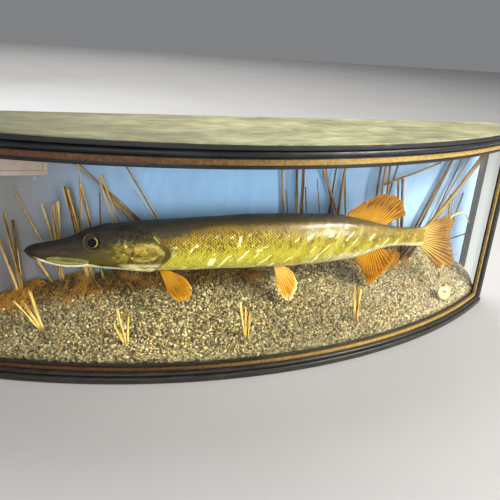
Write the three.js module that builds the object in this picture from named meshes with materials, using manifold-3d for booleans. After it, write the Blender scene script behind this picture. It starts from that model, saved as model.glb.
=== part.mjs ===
// A mounted pike in its bow-front glazed case, life size, as one still part.
// Millimetres, +Z up. The origin is the middle of the case's footprint, on the surface it stands on.
// The bowed glass faces -Y, the back board faces +Y, and the fish's head points along -X.
import * as THREE from 'three';
import { mergeVertices } from 'three/addons/utils/BufferGeometryUtils.js';
import Module from 'manifold-3d';

const wasm = await Module();
wasm.setup();

// ---------------------------------------------------------------- driving dimensions

const gap = 0.3;                      // clearance between pieces that touch
const caseWidth = 650;
const caseHeight = 216.3;
const endDepth = 48.9;                // depth of the flat ends
const bowRise = 95.7;                 // how far the bow stands out in front of the ends
const bowSteps = 20;

const baseBoardTop = 6.2;
const baseMouldingTop = 10.3;
const baseSlipTop = 13.6;
const baseBeadTop = 16.4;
const topBeadFoot = 194.0;
const topSlipFoot = 197.8;
const topMouldingFoot = 203.2;
const topBoardFoot = 210.7;

const mouldingInner = 11.0;           // inset of the mouldings' back face from the case outline
const slipInset = { outer: 4.6, inner: 8.5 };
const beadInset = { outer: 6.6, inner: 8.5 };
const glassInset = { outer: 8.9, inner: 10.9 };
const postReach = { front: 9, end: 6 };   // width of a corner post along each face
const postInset = { crest: 1.0, groove: 2.0, inner: 8.5 };
const stileWidth = 12.4;
const stileDepth = 11.3;
const backBoardThickness = 12.5;
const backBoardHalf = 311;

const label = { width: 94, height: 38, thickness: 0.5, right: -182.3, foot: 160 };

const bedInset = 11.6;
const bedRise = { front: 19.5, back: 44, mound: 1.6, bankFrom: 0.45 };
// Height of the gravel along the back board, as [x, z].
const bedCrest = [[-314, 37], [-232, 38], [-214, 44], [-190, 47], [-161, 53], [-125, 55], [-60, 54],
  [20, 55], [110, 57], [180, 62], [212, 66.5], [240, 67.5], [262, 58], [282, 50], [304, 43], [314, 38]];

const fishY = 13.8;                   // middle plane of the fish
const eye = { x: -149, side: 9.3, z: 111.8, radius: 7.2, depth: 4.6, tilt: 14 };
const supportRod = { radius: 2.5, height: 103, xs: [-45, 91] };

// ---------------------------------------------------------------- outline of the case in plan

const halfWidth = caseWidth / 2;
const caseDepth = endDepth + bowRise;
const backY = caseDepth / 2;
const frontY = -caseDepth / 2;
const bowRadius = (halfWidth * halfWidth + bowRise * bowRise) / (2 * bowRise);
const bowCentreY = frontY + bowRadius;
const boardFaceY = backY - backBoardThickness;
const stileFrontY = backY - stileDepth;

function cornerAngle(inset) {
  return Math.asin((halfWidth - inset) / (bowRadius - inset));
}

function bowPoint(inset, angle) {
  const radius = bowRadius - inset;
  return [radius * Math.sin(angle), bowCentreY - radius * Math.cos(angle)];
}

function cornerY(inset) {
  return bowPoint(inset, cornerAngle(inset))[1];
}

function bowY(inset, x) {
  const radius = bowRadius - inset;
  return bowCentreY - Math.sqrt(radius * radius - x * x);
}

// ---------------------------------------------------------------- solids

// Turns the triangles round where a mesh has come out inside out.
function facingOut(geometry) {
  const p = geometry.attributes.position;
  const index = geometry.index.array;
  const [a, b, c] = [new THREE.Vector3(), new THREE.Vector3(), new THREE.Vector3()];
  let volume = 0;
  for (let i = 0; i < index.length; i += 3) {
    a.fromBufferAttribute(p, index[i]);
    b.fromBufferAttribute(p, index[i + 1]);
    c.fromBufferAttribute(p, index[i + 2]);
    volume += a.dot(b.cross(c));
  }
  if (volume < 0) {
    for (let i = 0; i < index.length; i += 3) {
      [index[i + 1], index[i + 2]] = [index[i + 2], index[i + 1]];
    }
  }
  return geometry;
}

function meshOf(positions, triangles) {
  const geometry = new THREE.BufferGeometry();
  geometry.setAttribute('position', new THREE.Float32BufferAttribute(positions, 3));
  geometry.setIndex(triangles);
  return facingOut(geometry);
}

// A closed solid through rings of points with the same count, with a flat fan on each end.
function loft(rings) {
  const count = rings[0].length;
  const positions = rings.flat(2);
  const triangles = [];
  for (let r = 0; r < rings.length - 1; r++) {
    for (let j = 0; j < count; j++) {
      const a = r * count + j;
      const b = r * count + (j + 1) % count;
      triangles.push(a, b, b + count, a, b + count, a + count);
    }
  }
  const last = (rings.length - 1) * count;
  for (let j = 1; j < count - 1; j++) {
    triangles.push(0, j + 1, j, last, last + j, last + j + 1);
  }
  return meshOf(positions, triangles);
}

// A closed slab between two grids of points, upper[i][j] and lower[i][j].
function slab(upper, lower) {
  const rows = upper.length;
  const columns = upper[0].length;
  const half = rows * columns;
  const triangles = [];
  const quad = (a, b, c, d) => triangles.push(a, b, c, a, c, d);
  for (let i = 0; i < rows - 1; i++) {
    for (let j = 0; j < columns - 1; j++) {
      const a = i * columns + j;
      quad(a, a + 1, a + 1 + columns, a + columns);
      quad(half + a, half + a + columns, half + a + 1 + columns, half + a + 1);
    }
  }
  const rim = [];
  for (let j = 0; j < columns - 1; j++) rim.push(j);
  for (let i = 0; i < rows - 1; i++) rim.push(i * columns + columns - 1);
  for (let j = columns - 1; j > 0; j--) rim.push((rows - 1) * columns + j);
  for (let i = rows - 1; i > 0; i--) rim.push(i * columns);
  rim.forEach((a, k) => {
    const b = rim[(k + 1) % rim.length];
    quad(b, a, a + half, b + half);
  });
  return meshOf([...upper.flat(2), ...lower.flat(2)], triangles);
}

function solidOf(geometry) {
  const bare = geometry.clone();
  bare.deleteAttribute('normal');
  bare.deleteAttribute('uv');
  const merged = mergeVertices(bare, 1e-4);
  return new wasm.Manifold(new wasm.Mesh({
    numProp: 3,
    vertProperties: new Float32Array(merged.attributes.position.array),
    triVerts: new Uint32Array(merged.index.array),
  }));
}

function geometryOf(solid) {
  const { vertProperties, triVerts } = solid.getMesh();
  const geometry = new THREE.BufferGeometry();
  geometry.setAttribute('position', new THREE.BufferAttribute(vertProperties, 3));
  geometry.setIndex(new THREE.BufferAttribute(triVerts, 1));
  return geometry;
}

function box(x0, x1, y0, y1, z0, z1) {
  const geometry = new THREE.BoxGeometry(x1 - x0, y1 - y0, z1 - z0);
  return geometry.translate((x0 + x1) / 2, (y0 + y1) / 2, (z0 + z1) / 2);
}

// A straight round stem from one point to another, thinner at its end.
function stem(from, to, rootRadius, tipRadius, sides) {
  const start = new THREE.Vector3(...from);
  const run = new THREE.Vector3(...to).sub(start);
  const geometry = new THREE.CylinderGeometry(tipRadius, rootRadius, run.length(), sides);
  geometry.translate(0, run.length() / 2, 0);
  const turn = new THREE.Quaternion().setFromUnitVectors(new THREE.Vector3(0, 1, 0), run.normalize());
  return geometry.applyQuaternion(turn).translate(start.x, start.y, start.z);
}

// ---------------------------------------------------------------- the part and its materials

const part = new THREE.Group();

function material(color, roughness, metalness = 0) {
  return new THREE.MeshStandardMaterial({ color, roughness, metalness });
}

const finish = {
  ebonised: () => material(0x1d1f1e, 0.35),
  gilt: () => material(0xb98a45, 0.35, 0.8),
  rawTop: () => material(0xc2bd92, 0.9),
  board: () => material(0xa9cfe6, 0.8),
  card: () => material(0xb9a287, 0.9),
  gravel: () => material(0xa0906a, 0.95),
  moss: () => material(0x5f4a2a, 0.95),
  straw: () => material(0xc29a56, 0.8),
  shell: () => material(0xe8dcae, 0.4),
  skin: () => material(0x8a8236, 0.35),
  back: () => material(0x4c4634, 0.35),
  jaw: () => material(0xaea367, 0.35),
  fin: () => material(0xc88a34, 0.5),
  eye: () => material(0x15130f, 0.05),
  rod: () => material(0x5d5b55, 0.5, 0.7),
  glass: () => {
    const pane = material(0xeef4f2, 0.02);
    pane.transparent = true;
    pane.opacity = 0.15;
    return pane;
  },
};

function add(name, geometry, surface) {
  const mesh = new THREE.Mesh(geometry, surface());
  mesh.name = name;
  part.add(mesh);
}

// ---------------------------------------------------------------- boards and mouldings

// The bow-front outline at one height: flat back, flat ends and the bow.
function planRing(inset, z) {
  const reach = cornerAngle(inset);
  const ring = [[-(halfWidth - inset), backY, z]];
  for (let i = 0; i <= bowSteps; i++) {
    const angle = THREE.MathUtils.lerp(-reach, reach, i / bowSteps);
    ring.push([...bowPoint(inset, angle), z]);
  }
  ring.push([halfWidth - inset, backY, z]);
  return ring;
}

function board(levels) {
  return loft(levels.map(([inset, z]) => planRing(inset, z)));
}

// A profile of [inset, z] points swept along the bow, stopping short of both corners by trim.
function alongBow(profile, trim = 0) {
  const rings = [];
  for (let i = 0; i <= bowSteps; i++) {
    rings.push(profile.map(([inset, z]) => {
      const reach = cornerAngle(inset) - trim / (bowRadius - inset);
      return [...bowPoint(inset, THREE.MathUtils.lerp(-reach, reach, i / bowSteps)), z];
    }));
  }
  return loft(rings);
}

// The same profile along one flat end, from the mitred corner to the given depth.
function alongEnd(profile, side, farY) {
  const near = profile.map(([inset, z]) => [side * (halfWidth - inset), cornerY(inset) + gap, z]);
  const far = profile.map(([inset, z]) => [side * (halfWidth - inset), farY, z]);
  return loft([near, far]);
}

// The bead that holds an end pane, in one with the moulding above or below it.
function endBead(place, side) {
  const [foot, top] = place === 'top' ? [topBeadFoot, topMouldingFoot + 1] : [baseMouldingTop - 1, baseBeadTop];
  const xs = [side * (halfWidth - beadInset.outer), side * (halfWidth - beadInset.inner)].sort((a, b) => a - b);
  const nearY = cornerY(postInset.inner) + postReach.end + gap;
  return solidOf(box(...xs, nearY, stileFrontY - gap, foot, top));
}

function band(inset, foot, top) {
  return [[inset.inner, foot], [inset.inner, top], [inset.outer, top], [inset.outer, foot]];
}

const sides = { left: -1, right: 1 };

const topProfile = [
  [mouldingInner, topMouldingFoot], [mouldingInner, topBoardFoot - gap], [1.6, topBoardFoot - gap],
  [0.7, topBoardFoot - 2.1], [0.7, topMouldingFoot + 1.8], [1.8, topMouldingFoot],
];
const baseProfile = [
  [mouldingInner, baseBoardTop + gap], [mouldingInner, baseMouldingTop], [2.6, baseMouldingTop],
  [1.5, baseMouldingTop - 1.1], [1.3, baseBoardTop + 1.2], [1.6, baseBoardTop + gap],
];

function addBoardsAndMouldings() {
  add('case_base_board', board([[1.6, 0], [0, 1.4], [0, 4.8], [1.4, baseBoardTop]]), finish.ebonised);
  add('case_top_board', board([[1.2, topBoardFoot], [0, topBoardFoot + 1.2],
    [0, caseHeight - 1], [0.8, caseHeight]]), finish.rawTop);
  for (const [place, profile] of [['top', topProfile], ['base', baseProfile]]) {
    add(`case_${place}_moulding_front`, alongBow(profile), finish.ebonised);
    for (const [name, side] of Object.entries(sides)) {
      const rail = solidOf(alongEnd(profile, side, backY)).add(endBead(place, side));
      add(`case_${place}_moulding_${name}`, geometryOf(rail), finish.ebonised);
    }
  }
  add('case_back_board', box(-backBoardHalf, backBoardHalf, boardFaceY, backY,
    baseBoardTop + gap, topBoardFoot - gap), finish.board);
}

// ---------------------------------------------------------------- glass, slips, beads and posts

const openingFoot = baseMouldingTop + gap;
const openingTop = topMouldingFoot - gap;

// A frame round one opening: the outer band less the inner one.
function frameOnBow(inset, foot, top, width, trim) {
  const outer = solidOf(alongBow(band(inset, foot.low, top.high), trim));
  const wide = { outer: inset.outer - 2, inner: inset.inner + 2 };
  const hole = solidOf(alongBow(band(wide, foot.high, top.low), trim + width));
  return geometryOf(outer.subtract(hole));
}

const slip = {
  inset: slipInset,
  foot: { low: openingFoot, high: baseSlipTop },
  top: { low: topSlipFoot, high: openingTop },
  width: 4.6,
  trim: postReach.front + gap,
};
const bead = {
  inset: beadInset,
  foot: { low: baseSlipTop + gap, high: baseBeadTop },
  top: { low: topBeadFoot, high: topSlipFoot - gap },
  width: 2.6,
  trim: postReach.front + gap + slip.width + gap,
};

// Section of a corner post: two reeds on each face, one round the corner from the other.
function addPost(name, side) {
  const outline = [];
  for (let i = -8; i <= 8; i++) {
    const along = (i < 0 ? postReach.end : postReach.front) * i / 8;
    const rise = Math.abs(Math.sin(Math.PI * i / 4));
    outline.push(postPoint(THREE.MathUtils.lerp(postInset.groove, postInset.crest, rise), along));
  }
  outline.push(postPoint(postInset.inner, postReach.front));
  outline.push(postPoint(postInset.inner, 0));
  outline.push(postPoint(postInset.inner, -postReach.end));
  const rings = [openingFoot, openingTop].map((z) => outline.map(([x, y]) => [side * x, y, z]));
  add(`case_post_${name}`, extrudeRings(rings), finish.ebonised);
}

function postPoint(inset, along) {
  if (along <= 0) return [halfWidth - inset, cornerY(inset) - along];
  return bowPoint(inset, cornerAngle(inset) - along / (bowRadius - inset));
}

// A prism between two equal outlines that bend inwards, with capped ends.
function extrudeRings([lower, upper]) {
  const shape = new THREE.Shape(lower.map(([x, y]) => new THREE.Vector2(x, y)));
  const depth = upper[0][2] - lower[0][2];
  return new THREE.ExtrudeGeometry(shape, { depth, bevelEnabled: false }).translate(0, 0, lower[0][2]);
}

function addGlazing() {
  const pane = band(glassInset, openingFoot, openingTop);
  add('case_glass_front', alongBow(pane), finish.glass);
  add('case_slip_front', frameOnBow(slip.inset, slip.foot, slip.top, slip.width, slip.trim), finish.gilt);
  add('case_bead_front', frameOnBow(bead.inset, bead.foot, bead.top, bead.width, bead.trim), finish.ebonised);
  for (const [name, side] of Object.entries(sides)) {
    add(`case_glass_${name}`, alongEnd(pane, side, stileFrontY - gap), finish.glass);
    addPost(name, side);
    const xs = [side * (backBoardHalf + gap), side * (backBoardHalf + stileWidth)].sort((a, b) => a - b);
    add(`case_stile_${name}`, box(...xs, stileFrontY, backY, openingFoot, openingTop), finish.ebonised);
  }
}

function addLabel() {
  const face = boardFaceY - gap;
  add('case_label', box(label.right - label.width, label.right, face - label.thickness, face,
    label.foot, label.foot + label.height), finish.card);
}

// ---------------------------------------------------------------- groundwork

// Height at x on straight lines between points.
function lineAt(points, x) {
  const next = points.findIndex(([at]) => at >= x);
  if (next === -1) return points[points.length - 1][1];
  if (next === 0) return points[0][1];
  const [[x0, z0], [x1, z1]] = [points[next - 1], points[next]];
  return THREE.MathUtils.lerp(z0, z1, (x - x0) / (x1 - x0));
}

// Height of the gravel, from the front glass (0) to the back board (1).
function bedHeight(x, y) {
  const front = bowY(bedInset, x);
  const t = THREE.MathUtils.clamp((y - front) / (boardFaceY - gap - front), 0, 1);
  const mound = bedRise.mound * Math.sin(x / 38) * Math.sin(Math.PI * t);
  const heap = (lineAt(bedCrest, x) - bedRise.back) * THREE.MathUtils.smoothstep(t, bedRise.bankFrom, 1);
  return THREE.MathUtils.lerp(bedRise.front, bedRise.back, t ** 0.9) + mound + heap;
}

// A slab over part of the bed, from under(x, y) up to over(x, y, u, v).
function patch(xSpan, ySpan, steps, under, over) {
  const upper = [];
  const lower = [];
  for (let i = 0; i <= steps[0]; i++) {
    const u = i / steps[0];
    const x = THREE.MathUtils.lerp(xSpan[0], xSpan[1], u);
    const [y0, y1] = ySpan(x);
    const rows = Array.from({ length: steps[1] + 1 }, (_, j) => j / steps[1]);
    upper.push(rows.map((v) => {
      const y = THREE.MathUtils.lerp(y0, y1, v);
      return [x, y, over(x, y, u, v)];
    }));
    lower.push(rows.map((v) => {
      const y = THREE.MathUtils.lerp(y0, y1, v);
      return [x, y, under(x, y)];
    }));
  }
  return slab(upper, lower);
}

const bedHalf = halfWidth - bedInset;
const bedBack = boardFaceY - gap;
const mossBank = { from: -236, to: 24, front: 30, back: 41.5, rise: 5, clear: 0.8 };

function addBed() {
  const bed = patch([-bedHalf, bedHalf], (x) => [bowY(bedInset, x), bedBack], [22, 5],
    () => baseBoardTop + gap, (x, y) => bedHeight(x, y));
  add('ground_gravel_bed', bed, finish.gravel);
}

// A ridge of dry moss on the gravel, in front of the reeds' feet.
function addMoss() {
  const ridge = (u, v) => Math.sin(Math.PI * (0.08 + 0.84 * u)) ** 0.5 * Math.sin(Math.PI * (0.1 + 0.6 * v));
  const bank = patch([mossBank.from, mossBank.to], () => [mossBank.front, mossBank.back], [13, 3],
    (x, y) => bedHeight(x, y) + mossBank.clear,
    (x, y, u, v) => bedHeight(x, y) + 1.8 + (mossBank.rise + 2 * Math.sin(x / 11)) * ridge(u, v));
  add('ground_moss_bank', bank, finish.moss);
}

// A small round snail shell lying on its side: whorls along a short spiral.
function addShell() {
  const whorls = 4;
  const [x0, y0] = [242.5, -0.2];
  let body = null;
  for (let i = 0; i < whorls; i++) {
    const turn = 0.8 * i;
    const radius = 6.6 * 0.8 ** i;
    const whorl = new THREE.SphereGeometry(radius, 8, 4).scale(1, 0.75, 1);
    whorl.translate(x0 + 5.5 * 0.8 ** i * Math.cos(turn), y0 + 0.8 * i,
      bedHeight(x0, y0) + 7.2 + 2.4 * 0.8 ** i * Math.sin(turn));
    body = body ? body.add(solidOf(whorl)) : solidOf(whorl);
  }
  add('ground_shell', geometryOf(body), finish.shell);
}

// ---------------------------------------------------------------- reeds and straw

const bedClear = 2.1;                 // keeps a clump's round foot off the sloping bed
const reedFoot = 3.4;
const strawFoot = 2.6;

// Stems that grow from one low foot: each has its place along X, its lean from upright towards +X,
// its length and its root radius. Twigs lie across them, from [x, z] to [x, z].
function clumpSolid({ y, stems, twigs = [] }, foot, swell) {
  const feet = stems.map(([x]) => x);
  const [x0, x1] = [Math.min(...feet), Math.max(...feet)];
  const middle = (x0 + x1) / 2;
  const ground = bedHeight(middle, y) + bedClear;
  const plug = new THREE.SphereGeometry(1, 6, 3);
  plug.scale(foot + (x1 - x0) / 2 + swell, 0.8 * foot + swell, 0.7 * foot + swell);
  let body = solidOf(plug.translate(middle, y, ground + 0.7 * foot));
  for (const [x, lean, length, radius] of stems) {
    const from = [x, y, ground + 0.55 * foot];
    const angle = THREE.MathUtils.degToRad(lean);
    const to = [x + length * Math.sin(angle), y, from[2] + length * Math.cos(angle)];
    body = body.add(solidOf(stem(from, to, radius + swell, 0.7 * radius + swell, 4)));
  }
  for (const [from, to, radius] of twigs) {
    const twig = stem([from[0], y, from[1]], [to[0], y, to[1]], radius + swell, radius + swell, 4);
    body = body.add(solidOf(twig));
  }
  return body;
}

const reedRows = { back: 56, middle: 50.5, front: 45 };

const reedClumps = [
  { y: reedRows.middle, stems: [[-211, -8, 82, 1.8], [-210, -4, 74, 2.0], [-215, -14, 61, 1.7]] },
  { y: reedRows.back, stems: [[-172, -24, 100, 1.1], [-171, -13, 82, 1.4], [-173, -5, 79, 1.6],
    [-175, 0, 82, 1.9]] },
  { y: reedRows.middle, stems: [[-149, -12, 97, 2.0], [-144, -13, 95, 1.7],
    [-134, -12, 99, 2.0], [-97, -20, 112, 1.3]] },
  { y: reedRows.back, stems: [[-39, -46, 190, 1.6], [-58, -40, 117, 1.3]] },
  { y: reedRows.middle, stems: [[-46, -30, 155, 1.2]] },
  { y: reedRows.back, stems: [[67, -8, 131, 1.5]] },
  { y: reedRows.middle, stems: [[78, -6, 132, 2.0], [81, -4, 132, 2.3], [91, -8, 89, 1.1]] },
  { y: reedRows.back, stems: [[149, -26, 142, 1.7], [111, 2, 128, 1.2], [123, 2, 128, 1.9],
    [144, -10, 130, 1.4]] },
  { y: reedRows.middle, stems: [[166, 1, 127, 1.7], [177, -2, 127, 1.7], [183, -2, 127, 1.5],
    [215, -10, 95, 2.3]],
  twigs: [[[174, 147], [246.8, 172.5], 1.5]] },
  { y: reedRows.back, stems: [[226, 21, 129, 1.5], [220, 23, 130, 1.3]] },
  { y: reedRows.front, stems: [[209, 37, 162, 2.6], [218, 33, 155, 2.2]] },
  { y: reedRows.middle, stems: [[267, 14, 86, 1.2], [281, -9, 83, 1.2]],
    twigs: [[[268.5, 72.5], [304, 83], 1.0]] },
];

const strawTufts = [
  { y: 2.7, stems: [[-196.7, -38.4, 34.5, 1.2], [-195.7, -29.8, 31, 1.3], [-194.7, -14, 36, 1.3]] },
  { y: -30, stems: [[-124.9, -27.5, 21, 1.1], [-123.9, -13, 33, 1.3], [-122.9, 1.9, 26, 1.2]] },
  { y: -41.6, stems: [[-13, -12.4, 36.5, 1.2], [-12, -6, 30, 1.1], [-11, 3.3, 25.2, 1.3]] },
  { y: -33.2, stems: [[110.3, -9, 36, 1.1], [111.3, -4, 36, 1.2], [112.3, -1.5, 34, 1.2]] },
];

function addPlants() {
  reedClumps.forEach((clump, i) => {
    add(`ground_reed_clump_${i + 1}`, geometryOf(clumpSolid(clump, reedFoot, 0)), finish.straw);
  });
  strawTufts.forEach((tuft, i) => {
    add(`ground_straw_tuft_${i + 1}`, geometryOf(clumpSolid(tuft, strawFoot, 0)), finish.straw);
  });
}

// ---------------------------------------------------------------- the fish

// Side profile and width of the body: x, height of the back, height of the belly, half width.
const bodyStations = [
  [-206.9, 104.2, 103.2, 0.6],
  [-203, 107.3, 99.0, 5.8],
  [-195, 109.6, 94.2, 9.2],
  [-172, 113.4, 86.9, 12.0],
  [-150, 119.8, 85.5, 14.6],
  [-128, 125.0, 82.4, 17.4],
  [-100, 127.0, 78.8, 19.6],
  [-60, 128.2, 76.2, 20.2],
  [0, 129.5, 74.6, 20.5],
  [60, 128.7, 73.4, 19.8],
  [108, 125.6, 75.8, 17.6],
  [135, 120.0, 79.5, 14.6],
  [160, 113.4, 86.2, 10.8],
  [182, 109.4, 87.3, 7.6],
  [213, 107.6, 84.9, 2.6],
];
const bodySides = 16;
const bodyEnd = 213;
const cuts = { trunk: -6, loin: 74, stem: 164 };

// Smooth value of one column of a table at x.
function tableAt(rows, column, x) {
  const last = rows.length - 1;
  let i = 0;
  while (i < last - 1 && x > rows[i + 1][0]) i++;
  const slope = (k) => {
    const [a, b] = [rows[Math.max(k - 1, 0)], rows[Math.min(k + 1, last)]];
    return (b[column] - a[column]) / (b[0] - a[0]);
  };
  const span = rows[i + 1][0] - rows[i][0];
  const t = THREE.MathUtils.clamp((x - rows[i][0]) / span, 0, 1);
  const h = [(1 + 2 * t) * (1 - t) ** 2, t * (1 - t) ** 2, t * t * (3 - 2 * t), t * t * (t - 1)];
  return h[0] * rows[i][column] + h[1] * span * slope(i)
    + h[2] * rows[i + 1][column] + h[3] * span * slope(i + 1);
}

function bodySection(x, swell) {
  const top = tableAt(bodyStations, 1, x) + swell;
  const bottom = tableAt(bodyStations, 2, x) - swell;
  const half = tableAt(bodyStations, 3, x) + swell;
  const middle = THREE.MathUtils.lerp(bottom, top, 0.5);
  const fullness = 2 / THREE.MathUtils.lerp(2.5, 2.15, THREE.MathUtils.smoothstep(x, -190, -60));
  const ring = [];
  for (let j = 0; j < bodySides; j++) {
    const angle = 2 * Math.PI * j / bodySides;
    const [c, s] = [Math.cos(angle), Math.sin(angle)];
    const z = Math.sign(s) * Math.abs(s) ** fullness * (s > 0 ? top - middle : middle - bottom);
    ring.push([x, fishY + half * Math.sign(c) * Math.abs(c) ** fullness, middle + z]);
  }
  return ring;
}

function bodySolid(swell) {
  const xs = [-206.9, -205.6, -203];
  for (let x = -197; x < -80; x += 11) xs.push(x);
  for (let x = -76; x < bodyEnd - 5; x += 18) xs.push(x);
  xs.push(bodyEnd);
  return solidOf(loft(xs.map((x) => bodySection(x, swell))));
}

// A block across the whole body, outlined in side view.
function sideBlock(outline) {
  const shape = new THREE.Shape(outline.map(([x, z]) => new THREE.Vector2(x, z)));
  const block = new THREE.ExtrudeGeometry(shape, { depth: 80, bevelEnabled: false });
  return solidOf(block.rotateX(Math.PI / 2).translate(0, fishY + 40, 0));
}

// Rear edge of the gill cover in side view.
function gillEdge(z) {
  return -98 + 19 * Math.exp(-(((z - 100) / 15) ** 2));
}

function headBlock(shift) {
  const outline = [[-230, 60], [gillEdge(60) + shift, 60]];
  for (let z = 72; z <= 136; z += 8) outline.push([gillEdge(z) + shift, z]);
  outline.push([-230, 140]);
  return sideBlock(outline);
}

// The lower jaw lies under the mouth line and ends at the throat.
function jawBlock(shift) {
  const mouth = [[-214, 107.5], [-203, 106.4], [-197, 101.8], [-191, 98.8], [-181, 95.4],
    [-170, 92.8], [-158, 91.0], [-150, 90.2], [-143, 86.6], [-139, 80], [-137, 60]];
  return sideBlock([[-214, 60], ...mouth.map(([x, z]) => [x + shift, z + shift])]);
}

// Takes the tip off the upper jaw, which stops short of the lower one.
function upperLipBlock() {
  return sideBlock([[-214, 90], [-203.2, 90], [-203.6, 105.5], [-202.4, 108.8], [-199, 112], [-214, 112]]);
}

function eyeSolid(side, swell) {
  const ball = new THREE.SphereGeometry(1, 10, 6);
  ball.scale(eye.radius + swell, eye.depth + swell, eye.radius + swell);
  ball.rotateX(THREE.MathUtils.degToRad(-side * eye.tilt));
  return solidOf(ball.translate(eye.x, fishY + side * eye.side, eye.z));
}

// The brow over the eye, the leaf of the upper jaw and the gill cover stand a little proud of the head.
function headRelief(side) {
  const brow = new THREE.SphereGeometry(1, 8, 4).scale(14, 3.6, 3.0);
  brow.rotateY(THREE.MathUtils.degToRad(-14));
  brow.translate(-145, fishY + side * 7.6, 119.2);
  const leaf = new THREE.SphereGeometry(1, 7, 5).scale(20, 2.4, 3.4);
  leaf.rotateY(THREE.MathUtils.degToRad(14));
  leaf.translate(-169, fishY + side * 11.4, 96.6);
  const cover = new THREE.SphereGeometry(1, 8, 5).scale(17, 4.5, 15);
  cover.translate(-99, fishY + side * 17.2, 99);
  return solidOf(leaf).add(solidOf(cover)).add(solidOf(brow));
}

function addBody(body) {
  let head = body;
  for (const side of Object.values(sides)) head = head.add(headRelief(side));
  head = head.intersect(headBlock(-gap)).subtract(jawBlock(gap)).subtract(upperLipBlock());
  for (const side of Object.values(sides)) head = head.subtract(eyeSolid(side, gap));
  add('fish_head', geometryOf(head), finish.back);
  add('fish_lower_jaw', geometryOf(body.intersect(jawBlock(0))), finish.jaw);

  const slice = (x0, x1) => body.intersect(sideBlock([[x0, 60], [x1, 60], [x1, 140], [x0, 140]]));
  const trunk = slice(-150, cuts.trunk).subtract(headBlock(0));
  add('fish_trunk_front', geometryOf(trunk), finish.skin);
  add('fish_trunk_middle', geometryOf(slice(cuts.trunk + gap, cuts.loin)), finish.skin);
  add('fish_trunk_rear', geometryOf(slice(cuts.loin + gap, cuts.stem)), finish.skin);
  add('fish_tail_stem', geometryOf(slice(cuts.stem + gap, bodyEnd)), finish.skin);

  // The fish's left side is the one towards the front glass.
  add('fish_eye_left', geometryOf(eyeSolid(-1, 0)), finish.eye);
  add('fish_eye_right', geometryOf(eyeSolid(1, 0)), finish.eye);
}

// ---------------------------------------------------------------- fins

// A fin is a fan of rays between two root points, each ray with its own angle and length.
// The angles are in degrees from +X towards the fin's outward direction. Frays are loose ray tips.
const fins = {
  fish_fin_dorsal: {
    root: [[110.5, 124], [161, 112.5]], thick: 2.6,
    angles: [56, 54, 52, 51, 43, 25], lengths: [9, 26, 36, 39, 36, 27],
  },
  fish_fin_anal: {
    root: [[126, 79], [160, 87]], thick: 2.6,
    angles: [-56, -67, -72, -68, -56, -37], lengths: [14, 33, 44, 39, 32, 25],
  },
  fish_fin_tail: {
    root: [[208, 107.0], [208, 86.2]], thick: 3.6,
    angles: [24, 15, 7, -3, -10, -20, -30, -43], lengths: [34, 47, 43, 41, 45, 54, 62, 44],
    frays: [
      { radius: 0.8, points: [[247, 119], [257, 123.4], [266.5, 119.6], [271.4, 108]] },
      { radius: 0.6, points: [[246.6, 60], [244.8, 43]] },
    ],
  },
  fish_fin_pectoral_left: {
    root: [[-1.5, 3], [6, 1]], thick: 2.2, place: { x: -86.8, y: 5, z: 79.7, splay: 24 },
    angles: [-73, -67, -59, -51, -40, -26], lengths: [25, 36, 40, 39, 34, 18],
  },
  fish_fin_pelvic_left: {
    root: [[-3.5, 3], [6, 3]], thick: 2.2, place: { x: 35.2, y: 8, z: 73.2, splay: 22 },
    angles: [-84, -80, -74, -66, -52, -36], lengths: [22, 36, 41, 37, 28, 13],
  },
  fish_fin_pectoral_right: {
    root: [[-1.5, 3], [6, 1]], thick: 2.2, place: { x: -86.8, y: 24, z: 82.5, splay: -38 },
    angles: [-30, -25, -19, -12, -6, 2], lengths: [24, 33, 36, 34, 30, 16],
  },
  fish_fin_pelvic_right: {
    root: [[-3.5, 3], [6, 3]], thick: 2.2, place: { x: 35.2, y: 20, z: 75.4, splay: -40 },
    angles: [-36, -31, -25, -18, -10, -2], lengths: [20, 32, 37, 34, 26, 13],
  },
};
const finTipThickness = 0.9;
const rayCount = 8;
const rayRows = [-0.12, 0.5, 1];

// Value of a short list, spread evenly from 0 to 1.
function spreadAt(list, t) {
  return tableAt(list.map((value, i) => [i / (list.length - 1), value]), 1, t);
}

function finSolid({ root, thick, angles, lengths, place, frays = [] }) {
  const grids = [1, -1].map((face) => {
    const rays = [];
    for (let i = 0; i <= rayCount; i++) {
      const t = i / rayCount;
      const angle = THREE.MathUtils.degToRad(spreadAt(angles, t));
      const length = spreadAt(lengths, t);
      const start = [0, 1].map((k) => THREE.MathUtils.lerp(root[0][k], root[1][k], t));
      rays.push(rayRows.map((along) => {
        const thin = THREE.MathUtils.lerp(thick, finTipThickness, Math.max(along, 0)) / 2;
        return [start[0] + along * length * Math.cos(angle), face * thin,
          start[1] + along * length * Math.sin(angle)];
      }));
    }
    return rays;
  });
  const geometry = slab(grids[0], grids[1]);
  if (place) {
    geometry.rotateX(THREE.MathUtils.degToRad(-place.splay));
    geometry.translate(place.x, place.y, place.z);
  } else {
    geometry.translate(0, fishY, 0);
  }
  let body = solidOf(geometry);
  for (const { radius, points } of frays) {
    const path = points.map(([x, z]) => [x, fishY, z]);
    for (let i = 1; i < path.length; i++) {
      body = body.add(solidOf(stem(path[i - 1], path[i], radius, 0.9 * radius, 3)));
    }
  }
  return body;
}

function addFins(clearance) {
  for (const [name, spec] of Object.entries(fins)) {
    add(name, geometryOf(finSolid(spec).subtract(clearance)), finish.fin);
  }
}

// Two short rods hold the fish off the back board, out of sight behind it.
function addSupports(clearance) {
  supportRod.xs.forEach((x, i) => {
    const rod = stem([x, boardFaceY - gap, supportRod.height], [x, fishY, supportRod.height],
      supportRod.radius, supportRod.radius, 10);
    add(`fish_support_${i + 1}`, geometryOf(solidOf(rod).subtract(clearance)), finish.rod);
  });
}

// ---------------------------------------------------------------- assembly

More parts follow.
